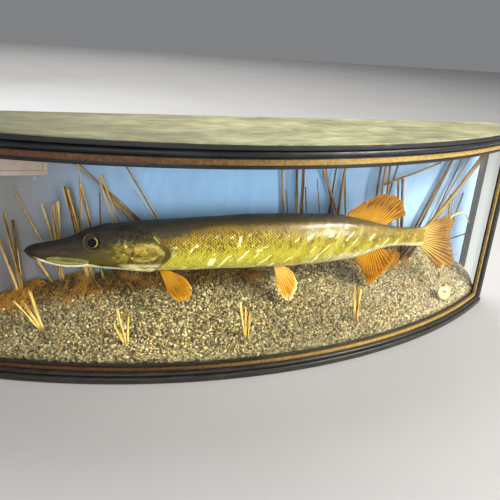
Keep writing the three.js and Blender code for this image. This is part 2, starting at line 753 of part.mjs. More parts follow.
addBoardsAndMouldings();
addGlazing();
addLabel();
addBed();
addMoss();
addShell();
addPlants();
const clearance = bodySolid(gap);
addBody(bodySolid(0));
addFins(clearance);
addSupports(clearance);

export default part;
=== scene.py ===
import math

import bpy
import numpy as np
from mathutils import Matrix, Vector


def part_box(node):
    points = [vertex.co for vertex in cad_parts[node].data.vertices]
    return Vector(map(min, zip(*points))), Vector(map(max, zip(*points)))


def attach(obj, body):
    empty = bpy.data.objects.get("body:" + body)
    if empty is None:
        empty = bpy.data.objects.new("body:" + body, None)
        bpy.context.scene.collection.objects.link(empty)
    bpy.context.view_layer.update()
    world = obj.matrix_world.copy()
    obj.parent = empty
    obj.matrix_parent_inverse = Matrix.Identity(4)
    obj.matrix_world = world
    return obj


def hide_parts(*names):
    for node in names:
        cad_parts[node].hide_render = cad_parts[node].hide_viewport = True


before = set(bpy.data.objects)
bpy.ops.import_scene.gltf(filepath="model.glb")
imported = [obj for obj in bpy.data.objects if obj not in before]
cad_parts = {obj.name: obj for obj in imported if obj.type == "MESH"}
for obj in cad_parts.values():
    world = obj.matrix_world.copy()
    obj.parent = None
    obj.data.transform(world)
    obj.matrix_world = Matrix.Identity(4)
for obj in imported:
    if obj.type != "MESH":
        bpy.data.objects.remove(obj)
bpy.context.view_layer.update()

mm = 0.001
quarterTurn = math.pi / 2


# Selecting, editing and finishing.

def deselectAll():
    bpy.ops.object.select_all(action="DESELECT")


def activate(piece):
    deselectAll()
    piece.select_set(True)
    bpy.context.view_layer.objects.active = piece


def nameNew(name):
    piece = bpy.context.object
    piece.name = piece.data.name = name
    return piece


def edit(piece, action="SELECT"):
    activate(piece)
    bpy.ops.object.mode_set(mode="EDIT")
    bpy.ops.mesh.select_all(action=action)


def objectMode():
    bpy.ops.object.mode_set(mode="OBJECT")


# Picks the faces whose centre and normal pass the test, and leaves the piece in edit mode.
def pickFaces(piece, test):
    edit(piece, "DESELECT")
    bpy.ops.mesh.select_mode(type="FACE")
    objectMode()
    for face in piece.data.polygons:
        face.select = test(face.center, face.normal)
    bpy.ops.object.mode_set(mode="EDIT")


def modify(piece, kind, **settings):
    activate(piece)
    modifier = piece.modifiers.new(kind.title(), kind)
    for key, value in settings.items():
        setattr(modifier, key, value)
    bpy.ops.object.modifier_apply(modifier=modifier.name)


def roundEdges(piece, width, segments=2, angle=35):
    modify(piece, "BEVEL", width=width, segments=segments, limit_method="ANGLE",
           angle_limit=math.radians(angle), harden_normals=False)


def sealMesh(piece, distance=0.00001):
    edit(piece)
    bpy.ops.mesh.remove_doubles(threshold=distance)
    bpy.ops.mesh.normals_make_consistent(inside=False)
    objectMode()


# Pushes a flat face out into a closed bar.
def pushOut(piece, move):
    pickFaces(piece, lambda centre, normal: True)
    bpy.ops.mesh.extrude_region_move(TRANSFORM_OT_translate={"value": move})
    objectMode()
    sealMesh(piece)


def joinPieces(name, parts):
    activate(parts[0])
    for piece in parts[1:]:
        piece.select_set(True)
    bpy.ops.object.join()
    return nameNew(name)


def cover(piece, *surfaces):
    piece.data.materials.clear()
    for surface in surfaces:
        piece.data.materials.append(surface)


def settle(piece, surfaces, nodes=(), smooth=35):
    activate(piece)
    bpy.ops.object.shade_smooth_by_angle(angle=math.radians(smooth))
    if surfaces:
        cover(piece, *(surfaces if isinstance(surfaces, list) else [surfaces]))
    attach(piece, "root")
    if nodes:
        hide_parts(*nodes)


def boxPiece(name, low, high, bevel=0.0, segments=2):
    deselectAll()
    bpy.ops.mesh.primitive_cube_add(size=1, location=[(a + b) / 2 for a, b in zip(low, high)])
    piece = nameNew(name)
    piece.scale = [b - a for a, b in zip(low, high)]
    bpy.ops.object.transform_apply(location=True, rotation=True, scale=True)
    if bevel:
        roundEdges(piece, bevel, segments)
    return piece


# A flat face with the given corners, to be spun or extruded.
def facePiece(name, corners):
    deselectAll()
    bpy.ops.mesh.primitive_circle_add(vertices=len(corners), radius=1, fill_type="NGON")
    piece = nameNew(name)
    for vertex, corner in zip(piece.data.vertices, corners):
        vertex.co = corner
    return piece


def setPoints(piece, points):
    piece.data.vertices.foreach_set("co", np.asarray(points, dtype=np.float32).ravel())
    piece.data.update()


def getPoints(piece):
    points = np.empty(len(piece.data.vertices) * 3, dtype=np.float32)
    piece.data.vertices.foreach_get("co", points)
    return points.reshape(-1, 3).astype(float)


def paintValues(piece, name, values):
    layer = piece.data.attributes.new(name, "FLOAT", "POINT")
    layer.data.foreach_set("value", np.asarray(values, dtype=np.float32))


# A grid whose points are placed by a function of u and v, which both run from 0 to 1.
def gridPiece(name, columns, rows, place):
    deselectAll()
    bpy.ops.mesh.primitive_grid_add(x_subdivisions=columns, y_subdivisions=rows, size=1)
    piece = nameNew(name)
    flat = getPoints(piece)
    setPoints(piece, place(flat[:, 0] + 0.5, flat[:, 1] + 0.5))
    return piece


# The points and faces of the selected small shape, which is taken away again.
def takeTemplate():
    piece = bpy.context.object
    points = getPoints(piece)
    faces = [list(face.vertices) for face in piece.data.polygons]
    bpy.data.objects.remove(piece)
    return points, faces


# One mesh of many copies of a small shape: points is copies x corners x 3.
def manyPiece(name, points, faces):
    copies, corners = points.shape[:2]
    order = np.concatenate(faces)
    sizes = np.tile([len(face) for face in faces], copies)
    mesh = bpy.data.meshes.new(name)
    mesh.vertices.add(copies * corners)
    mesh.vertices.foreach_set("co", points.astype(np.float32).ravel())
    mesh.loops.add(copies * len(order))
    corner = order + np.arange(copies)[:, None] * corners
    mesh.loops.foreach_set("vertex_index", corner.ravel().astype(np.int32))
    mesh.polygons.add(len(sizes))
    mesh.polygons.foreach_set("loop_start", (np.cumsum(sizes) - sizes).astype(np.int32))
    mesh.update(calc_edges=True)
    piece = bpy.data.objects.new(name, mesh)
    bpy.context.scene.collection.objects.link(piece)
    return piece


# The names and slices that share many copies out among pieces of a fair size.
def batches(name, count, size):
    return [(f"{name}{k + 1}", slice(start, start + size)) for k, start in enumerate(range(0, count, size))]


# Closed tubes of many sides: paths is tubes x points x 4, each point x, y, z and radius.
def tubesPiece(name, paths, sides, straight=False, flat=1.0):
    centre, radius = paths[..., :3], paths[..., 3]
    count, steps = radius.shape
    ahead = np.gradient(centre, axis=1)
    if straight:
        ahead = np.repeat(centre[:, -1:] - centre[:, :1], steps, axis=1)
    ahead /= np.linalg.norm(ahead, axis=2, keepdims=True) + 1e-12
    guide = np.where(np.abs(ahead[..., 2:]) > 0.8, [[[0.0, 1.0, 0.0]]], [[[0.0, 0.0, 1.0]]])
    guide = np.repeat(guide[:, steps // 2:steps // 2 + 1], steps, axis=1)
    across = np.cross(ahead, guide)
    across /= np.linalg.norm(across, axis=2, keepdims=True) + 1e-12
    over = np.cross(across, ahead)
    turn = np.arange(sides) * 2 * math.pi / sides
    ring = (across[:, :, None] * np.cos(turn)[:, None] + over[:, :, None] * np.sin(turn)[:, None] * flat)
    points = centre[:, :, None] + ring * radius[..., None, None]
    faces = [[k * sides + s, k * sides + (s + 1) % sides, (k + 1) * sides + (s + 1) % sides,
              (k + 1) * sides + s] for k in range(steps - 1) for s in range(sides)]
    faces += [list(range(sides))[::-1], [(steps - 1) * sides + s for s in range(sides)]]
    piece = manyPiece(name, points.reshape(count, steps * sides, 3), faces)
    paintValues(piece, "along", np.tile(np.repeat(np.linspace(0, 1, steps), sides), count))
    paintValues(piece, "around", np.tile(np.abs(np.arange(sides) / sides * 2 - 1), count * steps))
    return piece


def blend(a, b, t):
    return a + (b - a) * t


def smoothStep(low, high, value):
    t = np.clip((value - low) / (high - low), 0, 1)
    return t * t * (3 - 2 * t)


# Materials.

def addNode(tree, kind, inputs=None, **settings):
    made = tree.nodes.new(kind)
    for key, value in settings.items():
        setattr(made, key, value)
    for key, value in (inputs or {}).items():
        if isinstance(value, bpy.types.NodeSocket):
            tree.links.new(value, made.inputs[key])
        else:
            made.inputs[key].default_value = value
    return made


def objectPlace(tree, scale=(1, 1, 1), rotation=(0, 0, 0), location=(0, 0, 0)):
    place = addNode(tree, "ShaderNodeTexCoord").outputs["Object"]
    mapping = addNode(tree, "ShaderNodeMapping", {
        "Vector": place, "Scale": scale, "Rotation": rotation, "Location": location})
    return mapping.outputs["Vector"]


# The nodes below join the tree of the sockets they are given.
def noise(place, scale, detail=4.0, roughness=0.55, distortion=0.0):
    return addNode(place.id_data, "ShaderNodeTexNoise", {
        "Vector": place, "Scale": scale, "Detail": detail, "Roughness": roughness,
        "Distortion": distortion}).outputs["Fac"]


def noise1(value, scale, detail):
    return addNode(value.id_data, "ShaderNodeTexNoise", {"W": value, "Scale": scale, "Detail": detail},
                   noise_dimensions="1D").outputs["Fac"]


def cells(place, scale, output="Distance"):
    return addNode(place.id_data, "ShaderNodeTexVoronoi", {"Vector": place, "Scale": scale}).outputs[output]


def attribute(tree, name):
    return addNode(tree, "ShaderNodeAttribute", attribute_name=name).outputs["Fac"]


def maths(operation, a, b=0.0, clamp=False):
    tree = (a if isinstance(a, bpy.types.NodeSocket) else b).id_data
    return addNode(tree, "ShaderNodeMath", {0: a, 1: b}, operation=operation, use_clamp=clamp).outputs[0]


def times(a, b):
    return maths("MULTIPLY", a, b)


def plus(a, b):
    return maths("ADD", a, b)


def minus(a, b):
    return maths("SUBTRACT", a, b)


def spread(value, low, high, toLow=0.0, toHigh=1.0, kind="SMOOTHSTEP"):
    return addNode(value.id_data, "ShaderNodeMapRange", {
        "Value": value, "From Min": low, "From Max": high, "To Min": toLow, "To Max": toHigh},
        interpolation_type=kind).outputs[0]


def ramp(value, stops):
    made = addNode(value.id_data, "ShaderNodeValToRGB", {"Fac": value})
    elements = made.color_ramp.elements
    while len(elements) < len(stops):
        elements.new(0.5)
    for element, (position, color) in zip(elements, stops.items()):
        element.position = position
        element.color = (*color, 1)
    return made.outputs["Color"]


def tint(factor, a, b, kind="MIX"):
    made = addNode(factor.id_data, "ShaderNodeMix", data_type="RGBA", blend_type=kind)
    for index, value in ((0, factor), (6, a), (7, b)):
        if isinstance(value, bpy.types.NodeSocket):
            factor.id_data.links.new(value, made.inputs[index])
        else:
            made.inputs[index].default_value = value if index == 0 else (*value, 1)
    return made.outputs[2]


# Lays colours over one another, each where its mask is.
def layers(color, *coats):
    for mask, coat in coats:
        color = tint(mask, color, coat)
    return color


def axisValue(place, axis):
    return addNode(place.id_data, "ShaderNodeSeparateXYZ", {"Vector": place}).outputs[axis]


def bump(height, strength, distance):
    return addNode(height.id_data, "ShaderNodeBump", {
        "Height": height, "Strength": strength, "Distance": distance}).outputs["Normal"]


# Makes a material and hands its tree to the function that fills it, whose sockets are linked into its shader.
def makeMaterial(name, fill, **values):
    material = bpy.data.materials.new(name)
    material.use_nodes = True
    tree = material.node_tree
    shader = next(n for n in tree.nodes if n.type == "BSDF_PRINCIPLED")
    for key, value in values.items():
        shader.inputs[key.replace("_", " ")].default_value = value
    for socketName, socket in fill(tree).items():
        tree.links.new(socket, shader.inputs[socketName])
    return material


# A shader group with named inputs and outputs, filled by a function that gets its tree and any inputs.
def makeGroup(name, inputs, outputs, fill):
    tree = bpy.data.node_groups.new(name, "ShaderNodeTree")
    for key, value in inputs.items():
        kind = "NodeSocketFloat" if isinstance(value, (int, float)) else "NodeSocketColor"
        socket = tree.interface.new_socket(name=key, in_out="INPUT", socket_type=kind)
        socket.default_value = value if kind == "NodeSocketFloat" else (*value, 1)
    for key, kind in outputs.items():
        tree.interface.new_socket(name=key, in_out="OUTPUT", socket_type=kind)
    entry = addNode(tree, "NodeGroupInput")
    leave = addNode(tree, "NodeGroupOutput")
    for key, socket in (fill(tree, entry.outputs) if inputs else fill(tree)).items():
        tree.links.new(socket, leave.inputs[key])
    return tree


def useGroup(tree, group, inputs=None):
    made = addNode(tree, "ShaderNodeGroup", node_tree=group)
    for key, value in (inputs or {}).items():
        if isinstance(value, bpy.types.NodeSocket):
            tree.links.new(value, made.inputs[key])
        elif isinstance(value, tuple):
            made.inputs[key].default_value = (*value, 1)
        else:
            made.inputs[key].default_value = value
    return made.outputs


colorOut = "NodeSocketColor"
valueOut = "NodeSocketFloat"


# Long streaks along X with fine fibres, for wood that runs the length of the case.
def fillGrain(tree):
    bands = noise(objectPlace(tree, scale=(1, 9, 9)), 14, 5, 0.6, 0.6)
    fibres = noise(objectPlace(tree, scale=(1, 40, 40)), 38, 3, 0.6)
    return {"Grain": plus(times(bands, 0.6), times(fibres, 0.4)), "Fibres": fibres}


grainGroup = makeGroup("woodGrain", {}, {"Grain": valueOut, "Fibres": valueOut}, fillGrain)


# Uneven patches: Spots is the share of the surface that they leave alone.
def fillPatches(tree, given):
    coarse = noise(objectPlace(tree), given["Scale"], 6, 0.62)
    return {"Mask": spread(coarse, given["Spots"], plus(given["Spots"], 0.07), kind="LINEAR")}


patchGroup = makeGroup("patches", {"Scale": 30.0, "Spots": 0.55}, {"Mask": valueOut}, fillPatches)


def patches(tree, scale, spots):
    return useGroup(tree, patchGroup, {"Scale": scale, "Spots": spots})["Mask"]


# Fine scratches and dust on varnish.
def fillVarnish(tree):
    dust = noise(objectPlace(tree), 900, 2, 0.6)
    scuffs = noise(objectPlace(tree, scale=(1, 6, 6)), 60, 5, 0.7)
    return {"Scuffs": spread(scuffs, 0.35, 0.75), "Height": plus(times(dust, 0.25), scuffs)}


varnishGroup = makeGroup("varnish", {}, {"Scuffs": valueOut, "Height": valueOut}, fillVarnish)


# The case's plan: flat ends and a bow on one circle.

casePlan = dict(
    width=650 * mm, endDepth=48.9 * mm, bowRise=95.7 * mm,
    steps=112,              # pieces of the bow
    mouldingDepth=11 * mm,  # how far the mouldings reach in
    past=0.03,              # how far the front lengths run past the mitre, in radians
)
caseEnds = ((-1, "left"), (1, "right"))
halfWidth = casePlan["width"] / 2
caseDepth = casePlan["endDepth"] + casePlan["bowRise"]
backY = caseDepth / 2
bowRadius = (halfWidth ** 2 + casePlan["bowRise"] ** 2) / (2 * casePlan["bowRise"])
bowCentreY = bowRadius - caseDepth / 2
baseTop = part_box("case_base_board")[1].z
topFoot, caseTop = [corner.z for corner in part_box("case_top_board")]
glassLow, glassHigh = [corner.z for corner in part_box("case_glass_front")]


def cornerAngle(inset):
    return math.asin((halfWidth - inset) / (bowRadius - inset))


def bowPoint(inset, angle):
    radius = bowRadius - inset
    return radius * math.sin(angle), bowCentreY - radius * math.cos(angle)


def cornerY(inset):
    return bowPoint(inset, cornerAngle(inset))[1]


def bowY(inset, x):
    return bowCentreY - np.sqrt((bowRadius - inset) ** 2 - x ** 2)


# Turns a face round the bow's centre into a bowed bar, from one angle to the other.
def spinBow(piece, reach):
    edit(piece)
    bpy.ops.mesh.spin(steps=casePlan["steps"], angle=-2 * reach, center=(0, bowCentreY, 0), axis=(0, 0, 1))
    objectMode()
    sealMesh(piece)


def profileFace(name, profile, angle):
    return facePiece(name, [(*bowPoint(inset, angle), z) for inset, z in profile])


# Cuts away what lies past the mitre line between the bow and the end on that side.
def cutMitre(piece, side, keepFront):
    near, far = [Vector((side * (halfWidth - i), cornerY(i), 0)) for i in (0, casePlan["mouldingDepth"])]
    along = (near - far).normalized()
    edit(piece)
    bpy.ops.mesh.bisect(plane_co=near, plane_no=Vector((-along.y, along.x, 0)) * side, use_fill=True,
                        clear_inner=not keepFront, clear_outer=keepFront)
    objectMode()
    sealMesh(piece)


# A moulding along the bow and both ends, as three mitred lengths.
def mouldingSet(place, profile):
    reach = cornerAngle(0) + casePlan["past"]
    front = profileFace(f"{place}MouldingFront", profile, -reach)
    spinBow(front, reach)
    for side in (-1, 1):
        cutMitre(front, side, True)
    settle(front, ebony, [f"case_{place}_moulding_front"])
    for side, word in caseEnds:
        corners = [(side * (halfWidth - inset), backY, z) for inset, z in profile]
        end = facePiece(f"{place}Moulding{word.title()}", corners)
        pushOut(end, (0, -casePlan["endDepth"] * 1.6, 0))
        cutMitre(end, side, False)
        end = joinPieces(end.name, [end, endBead(place, side)])
        settle(end, ebony, [f"case_{place}_moulding_{word}"])


endBeads = dict(
    top=(194.0 * mm, 203.3 * mm), base=(10.2 * mm, 16.4 * mm), bevel=0.6 * mm,
    outer=halfWidth - 6.6 * mm, inner=halfWidth - 8.5 * mm,
    near=cornerY(8.5 * mm) + 6.3 * mm, far=backY - 11.6 * mm,
)


# The small bead that holds an end pane, under the top moulding or on the base one.
def endBead(place, side):
    foot, head = endBeads[place]
    left, right = sorted(side * endBeads[edge] for edge in ("outer", "inner"))
    low, high = (left, endBeads["near"], foot), (right, endBeads["far"], head)
    return boxPiece("endBead", low, high, endBeads["bevel"])


# Points of an arc in [inset, z] space, for reeds and hollows.
def arc(centre, radius, start, stop, steps=6):
    turn = [math.radians(blend(start, stop, i / steps)) for i in range(steps + 1)]
    return [(centre[0] - radius * math.cos(a), centre[1] + radius * math.sin(a)) for a in turn]


def topProfile():
    foot, head = [corner.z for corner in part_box("case_top_moulding_front")]
    reed = arc((4.0 * mm, foot + 4.1 * mm), 3.3 * mm, -72, 72, 10)
    lip = [(1.8 * mm, foot), (1.35 * mm, foot + 0.35 * mm), (1.5 * mm, foot + 0.8 * mm)]
    inner = casePlan["mouldingDepth"]
    return [(inner, foot)] + lip + reed[1:] + [(3.4 * mm, head), (inner, head)]


def baseProfile():
    foot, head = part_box("case_base_moulding_front")[0].z, 10.3 * mm
    inner = casePlan["mouldingDepth"]
    return [(inner, foot)] + arc((3.1 * mm, foot + 1.9 * mm), 1.8 * mm, -75, 75, 8) + [(inner, head)]


# Surfaces of the case.

def fillEbony(tree):
    scuffs, height = useGroup(tree, varnishGroup)
    low = spread(axisValue(objectPlace(tree), "Z"), 0.035, 0.005, 0, 0.65)
    color = tint(times(patches(tree, 18.0, 0.5), 0.55), (0.006, 0.007, 0.0075), (0.018, 0.020, 0.020))
    color = layers(color, (times(low, spread(scuffs, 0.1, 0.7, 0.5, 1.0)), (0.060, 0.050, 0.038)),
                   (times(patches(tree, 210.0, 0.70), 0.7), (0.15, 0.095, 0.050)))
    return {"Base Color": color, "Roughness": spread(scuffs, 0, 1, 0.30, 0.55),
            "Normal": bump(height, 0.35, 0.0004)}


# Bare wood, dusty and stained in patches and darker towards the left, where shade is painted in, with chipped
# black paint run over its edge.
def fillRawTop(tree):
    grain, fibres = useGroup(tree, grainGroup)
    place = objectPlace(tree)
    x = axisValue(place, "X")
    clouds = noise(objectPlace(tree, scale=(1, 2.2, 2.2)), 24, 7, 0.72)
    ragged = plus(times(minus(noise(place, 260, 4), 0.5), 0.0004), times(patches(tree, 46.0, 0.645), 0.0013))
    paint = spread(plus(axisValue(place, "Z"), ragged), caseTop - 1.15 * mm, caseTop - 0.95 * mm, 1.0, 0.0)
    wood = ramp(clouds, {0.30: (0.17, 0.165, 0.085), 0.43: (0.29, 0.285, 0.150),
                         0.54: (0.42, 0.41, 0.215), 0.70: (0.62, 0.60, 0.34)})
    color = layers(
        wood,
        (spread(fibres, 0.50, 0.70, 0, 0.45), (0.66, 0.64, 0.42)),
        (spread(grain, 0.48, 0.36, 0, 0.35), (0.17, 0.165, 0.095)),
        # painted shade: the wood darkens towards the left, away from the light
        (spread(x, -0.30, 0.02, 0.80, 0.0), (0.125, 0.117, 0.066)),
        (spread(x, 0.10, 0.30, 0.0, 0.35), (0.30, 0.28, 0.16)),
        (times(patches(tree, 13.0, 0.54), 0.45), (0.21, 0.205, 0.115)),
        (times(patches(tree, 260.0, 0.64), 0.5), (0.10, 0.095, 0.06)),
        (paint, (0.008, 0.009, 0.009)))
    return {"Base Color": color, "Roughness": tint(paint, (0.9, 0.9, 0.9), (0.42, 0.42, 0.42)),
            "Normal": bump(plus(clouds, times(fibres, 0.5)), 0.5, 0.0008)}


# Gold leaf, worn to red clay towards the left end; its dim gold at the left and bright gold at the right are
# painted shade and a painted highlight.
def fillGilt(tree):
    place = objectPlace(tree)
    x = axisValue(place, "X")
    worn = noise(place, 95, 5, 0.7)
    bare = spread(plus(worn, spread(x, -0.30, 0.0, 0.20, 0.0, "LINEAR")), 0.60, 0.74)
    speck = noise(place, 420, 3)
    shadedGilt = ramp(speck, {0.3: (0.075, 0.034, 0.014), 0.7: (0.21, 0.105, 0.034)})
    bright = ramp(speck, {0.3: (0.42, 0.25, 0.065), 0.7: (0.80, 0.55, 0.17)})
    # painted light: dim gold at the left, bright gold towards the right
    color = layers(shadedGilt, (spread(x, -0.12, 0.16), bright), (bare, (0.13, 0.030, 0.014)))
    return {"Base Color": color, "Metallic": spread(bare, 0, 1, 0.55, 0.05),
            "Roughness": spread(noise(place, 230, 3), 0.2, 0.8, 0.40, 0.62),
            "Normal": bump(worn, 0.3, 0.0004)}


# Pale blue distemper, brushed on, paler to the right, darker in clouds towards the left, partly stain and
# partly painted shade, with painted shadow at the far left, and darker in blotches along the foot.
def fillBlueBoard(tree):
    place = objectPlace(tree)
    x = axisValue(place, "X")
    brush = noise(objectPlace(tree, scale=(4, 1, 1)), 22, 5, 0.6)
    cloud = noise(place, 16, 6, 0.65)
    # partly stain, partly painted shade: darker towards the left, away from the light
    stainAndShade = maths("MULTIPLY", spread(x, -0.24, 0.0, 1.0, 0.0), spread(cloud, 0.30, 0.60), True)
    # painted shade at the far left, standing in for the reeds' shadows there
    shadeAtLeft = spread(plus(x, times(cloud, 0.08)), -0.06, -0.18, 0, 0.85)
    foot = spread(axisValue(place, "Z"), 0.045, 0.085, 1.0, 0.0)
    # darker in blotches along the foot
    footDarkening = times(foot, spread(noise(place, 60, 5), 0.3, 0.7))
    color = layers(
        ramp(brush, {0.3: (0.280, 0.490, 0.80), 0.6: (0.330, 0.555, 0.86)}),
        (spread(x, 0.0, 0.26, 0, 0.6), (0.33, 0.43, 0.56)), (times(stainAndShade, 0.8), (0.33, 0.36, 0.46)),
        (shadeAtLeft, (0.21, 0.175, 0.145)), (times(footDarkening, 0.6), (0.22, 0.20, 0.19)),
        (times(patches(tree, 240.0, 0.66), 0.45), (0.50, 0.58, 0.66)))
    return {"Base Color": color, "Normal": bump(brush, 0.25, 0.0006)}


def fillBackWood(tree):
    grain = useGroup(tree, grainGroup)["Grain"]
    color = ramp(grain, {0.30: (0.17, 0.095, 0.045), 0.50: (0.30, 0.185, 0.10), 0.72: (0.42, 0.29, 0.17)})
    color = tint(times(patches(tree, 12.0, 0.55), 0.5), color, (0.10, 0.075, 0.055))
    return {"Base Color": color, "Normal": bump(grain, 0.5, 0.0008)}


def fillCard(tree):
    place = objectPlace(tree)
    color = ramp(noise(place, 40, 5, 0.6), {0.3: (0.36, 0.27, 0.23), 0.7: (0.52, 0.41, 0.34)})
    return {"Base Color": color, "Normal": bump(noise(place, 700, 4, 0.7), 0.3, 0.0002)}


def fillInk(tree):
    wear = noise(objectPlace(tree), 500, 3)
    return {"Base Color": ramp(wear, {0.35: (0.05, 0.035, 0.03), 0.75: (0.22, 0.16, 0.12)})}


# Old sheet glass: lamps shine straight through it, and it has a faint ripple.
def makeGlass(name, color, ripple):
    def fill(tree):
        waves = noise(objectPlace(tree), 9, 2)
        return {"Normal": bump(waves, ripple, 0.002)} if ripple else {}

    material = makeMaterial(name, fill, Base_Color=(*color, 1), Roughness=0.0,
                            Transmission_Weight=1.0, IOR=1.12)
    tree = material.node_tree
    shader = next(n for n in tree.nodes if n.type == "BSDF_PRINCIPLED")
    output = next(n for n in tree.nodes if n.type == "OUTPUT_MATERIAL")
    path = addNode(tree, "ShaderNodeLightPath").outputs["Is Shadow Ray"]
    clear = addNode(tree, "ShaderNodeBsdfTransparent").outputs[0]
    mix = addNode(tree, "ShaderNodeMixShader", {0: path, 1: shader.outputs[0], 2: clear})
    tree.links.new(mix.outputs[0], output.inputs["Surface"])
    return material


ebony = makeMaterial("ebonisedWood", fillEbony, Coat_Weight=0.12, Coat_Roughness=0.2, Specular_IOR_Level=0.35)
rawTop = makeMaterial("bareTop", fillRawTop)
gilt = makeMaterial("gildedSlip", fillGilt)
blueBoard = makeMaterial("paintedBoard", fillBlueBoard, Roughness=0.9, Specular_IOR_Level=0.2)
backWood = makeMaterial("backWood", fillBackWood, Roughness=0.8)
card = makeMaterial("agedCard", fillCard, Roughness=0.9)
ink = makeMaterial("printedLine", fillInk, Roughness=0.8)
glass = makeGlass("caseGlass", (0.97, 1, 0.985), 0.06)


# Camera, light and floor.

view = dict(
    place=(-187.915 * mm, -498.205 * mm, 300.3 * mm),
    yaw=0.3624, pitch=0.3636, roll=0.0773,   # radians
    focal=579.701,                           # in pixels of a 500-pixel frame
)


def addCamera():
    yaw, pitch, roll = view["yaw"], view["pitch"], view["roll"]
    ahead = Vector((math.sin(yaw) * math.cos(pitch), math.cos(yaw) * math.cos(pitch), -math.sin(pitch)))
    right = ahead.cross(Vector((0, 0, 1))).normalized()
    up = right.cross(ahead)
    tilted = right * math.cos(roll) + up * math.sin(roll)
    upright = up * math.cos(roll) - right * math.sin(roll)
    data = bpy.data.cameras.new("camera")
    data.sensor_width = 36
    data.lens = view["focal"] * data.sensor_width / 500
    data.clip_start = 0.01
    camera = bpy.data.objects.new("camera", data)
    bpy.context.scene.collection.objects.link(camera)
    turn = Matrix((tilted, upright, -ahead)).transposed().to_4x4()
    camera.matrix_world = Matrix.Translation(view["place"]) @ turn
    bpy.context.scene.camera = camera


# Each lamp's place, what it points at, its size, its power and its colour.
lamps = dict(
    key=((1.05, -0.86, 0.98), (0.05, 0.0, 0.10), 0.35, 11, (1.0, 0.97, 0.92)),
    glint=((1.18, -0.66, 1.03), (0.13, 0.0, 0.12), 0.5, 15, (1.0, 0.98, 0.95)),
    window=((1.30, -1.35, 0.42), (0.05, 0.0, 0.11), 0.6, 12, (1.0, 0.97, 0.93)),
    fill=((-0.50, -1.40, 0.22), (-0.05, 0.0, 0.10), 0.8, 5.5, (0.95, 0.97, 1.0)),
    back=((-0.6, 1.6, 1.3), (0, 0, 0.1), 1.4, 17, (0.95, 0.97, 1.0)),
    floor=((0.0, 2.6, 3.2), (0.0, 2.2, 0.0), 3.0, 90, (1.0, 0.99, 0.97)),
)


def addLamps():
    for name, (place, aim, size, power, color) in lamps.items():
        data = bpy.data.lights.new(name, "AREA")
        data.size = size
        data.energy = power
        data.color = color
        light = bpy.data.objects.new(name, data)
        bpy.context.scene.collection.objects.link(light)
        light.location = place
        light.rotation_euler = (Vector(aim) - Vector(place)).to_track_quat("-Z", "Y").to_euler()
    world = bpy.data.worlds.new("studio")
    bpy.context.scene.world = world
    world.use_nodes = True
    world.node_tree.nodes["Background"].inputs["Color"].default_value = (0.80, 0.82, 0.85, 1)
    world.node_tree.nodes["Background"].inputs["Strength"].default_value = 0.27
    bpy.context.scene.view_settings.view_transform = "Standard"


def addFloor():
    deselectAll()
    bpy.ops.mesh.primitive_plane_add(size=12, location=(0, 0, 0))
    floor = nameNew("studioFloor")
    floor.data.transform(Matrix.Translation((0, 0, -0.0002)))

    def fill(tree):
        shade = noise(objectPlace(tree), 3, 3)
        return {"Base Color": ramp(shade, {0.3: (0.56, 0.55, 0.54), 0.7: (0.60, 0.59, 0.58)})}

    floor.data.materials.append(makeMaterial("paleFloor", fill, Roughness=0.7))


# Boards, glazing and trim.

boards = dict(topBevel=1.1 * mm, baseBevel=1.4 * mm, outlineSteps=112, chipped=0.16)


# The case's outline in plan, anticlockwise seen from above.
def planOutline(inset, z):
    reach, steps = cornerAngle(inset), boards["outlineSteps"]
    bow = [(*bowPoint(inset, blend(-reach, reach, i / steps)), z) for i in range(steps + 1)]
    return bow + [(halfWidth - inset, backY, z), (-halfWidth + inset, backY, z)]


def boardPiece(name, foot, head, bevel):
    board = facePiece(name, planOutline(0, foot))
    pushOut(board, (0, 0, head - foot))
    roundEdges(board, bevel, segments=3, angle=50)
    return board


# Takes small bites out of the front upper edge.
def chipEdge(board):
    points = getPoints(board)
    rng = np.random.default_rng(11)
    x = np.clip(points[:, 0], -halfWidth, halfWidth)
    front = (points[:, 1] < bowY(4.5 * mm, x)) & (points[:, 2] > caseTop - 1.6 * mm)
    chosen = front & (rng.random(len(points)) < boards["chipped"])
    depth = rng.uniform(0.2, 0.9, len(points)) * mm
    points[chosen, 1] += depth[chosen]
    points[chosen, 2] -= depth[chosen] * 0.6
    setPoints(board, points)


def addBoards():
    base = boardPiece("baseBoard", 0, baseTop, boards["baseBevel"])
    settle(base, ebony, ["case_base_board"])
    top = boardPiece("topBoard", topFoot, caseTop, boards["topBevel"])
    chipEdge(top)
    settle(top, rawTop, ["case_top_board"])
    back = boxPiece("backBoard", *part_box("case_back_board"), 0.5 * mm)
    settle(back, [blueBoard, backWood], ["case_back_board"])
    for face in back.data.polygons:
        face.material_index = 1 if face.normal.y > 0.5 else 0
    for _, word in caseEnds:
        stile = boxPiece(f"stile{word.title()}", *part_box(f"case_stile_{word}"), 0.8 * mm)
        settle(stile, ebony, [f"case_stile_{word}"])


trim = dict(
    slip=dict(outer=4.6 * mm, inner=8.5 * mm, foot=10.6 * mm, footTop=13.6 * mm, headFoot=197.8 * mm,
              head=202.9 * mm, side=4.6 * mm, clear=9.3 * mm, bevel=0.9 * mm),
    bead=dict(outer=6.6 * mm, inner=8.5 * mm, foot=13.9 * mm, footTop=16.4 * mm, headFoot=194.0 * mm,
              head=197.5 * mm, side=2.6 * mm, clear=14.2 * mm, bevel=0.8 * mm),
    pane=(8.9 * mm, 10.9 * mm),
)


def bowWall(name, outer, inner, low, high, clear):
    reach = cornerAngle(outer) - clear / (bowRadius - outer)
    wall = profileFace(name, [(inner, low), (inner, high), (outer, high), (outer, low)], -reach)
    spinBow(wall, reach)
    return wall


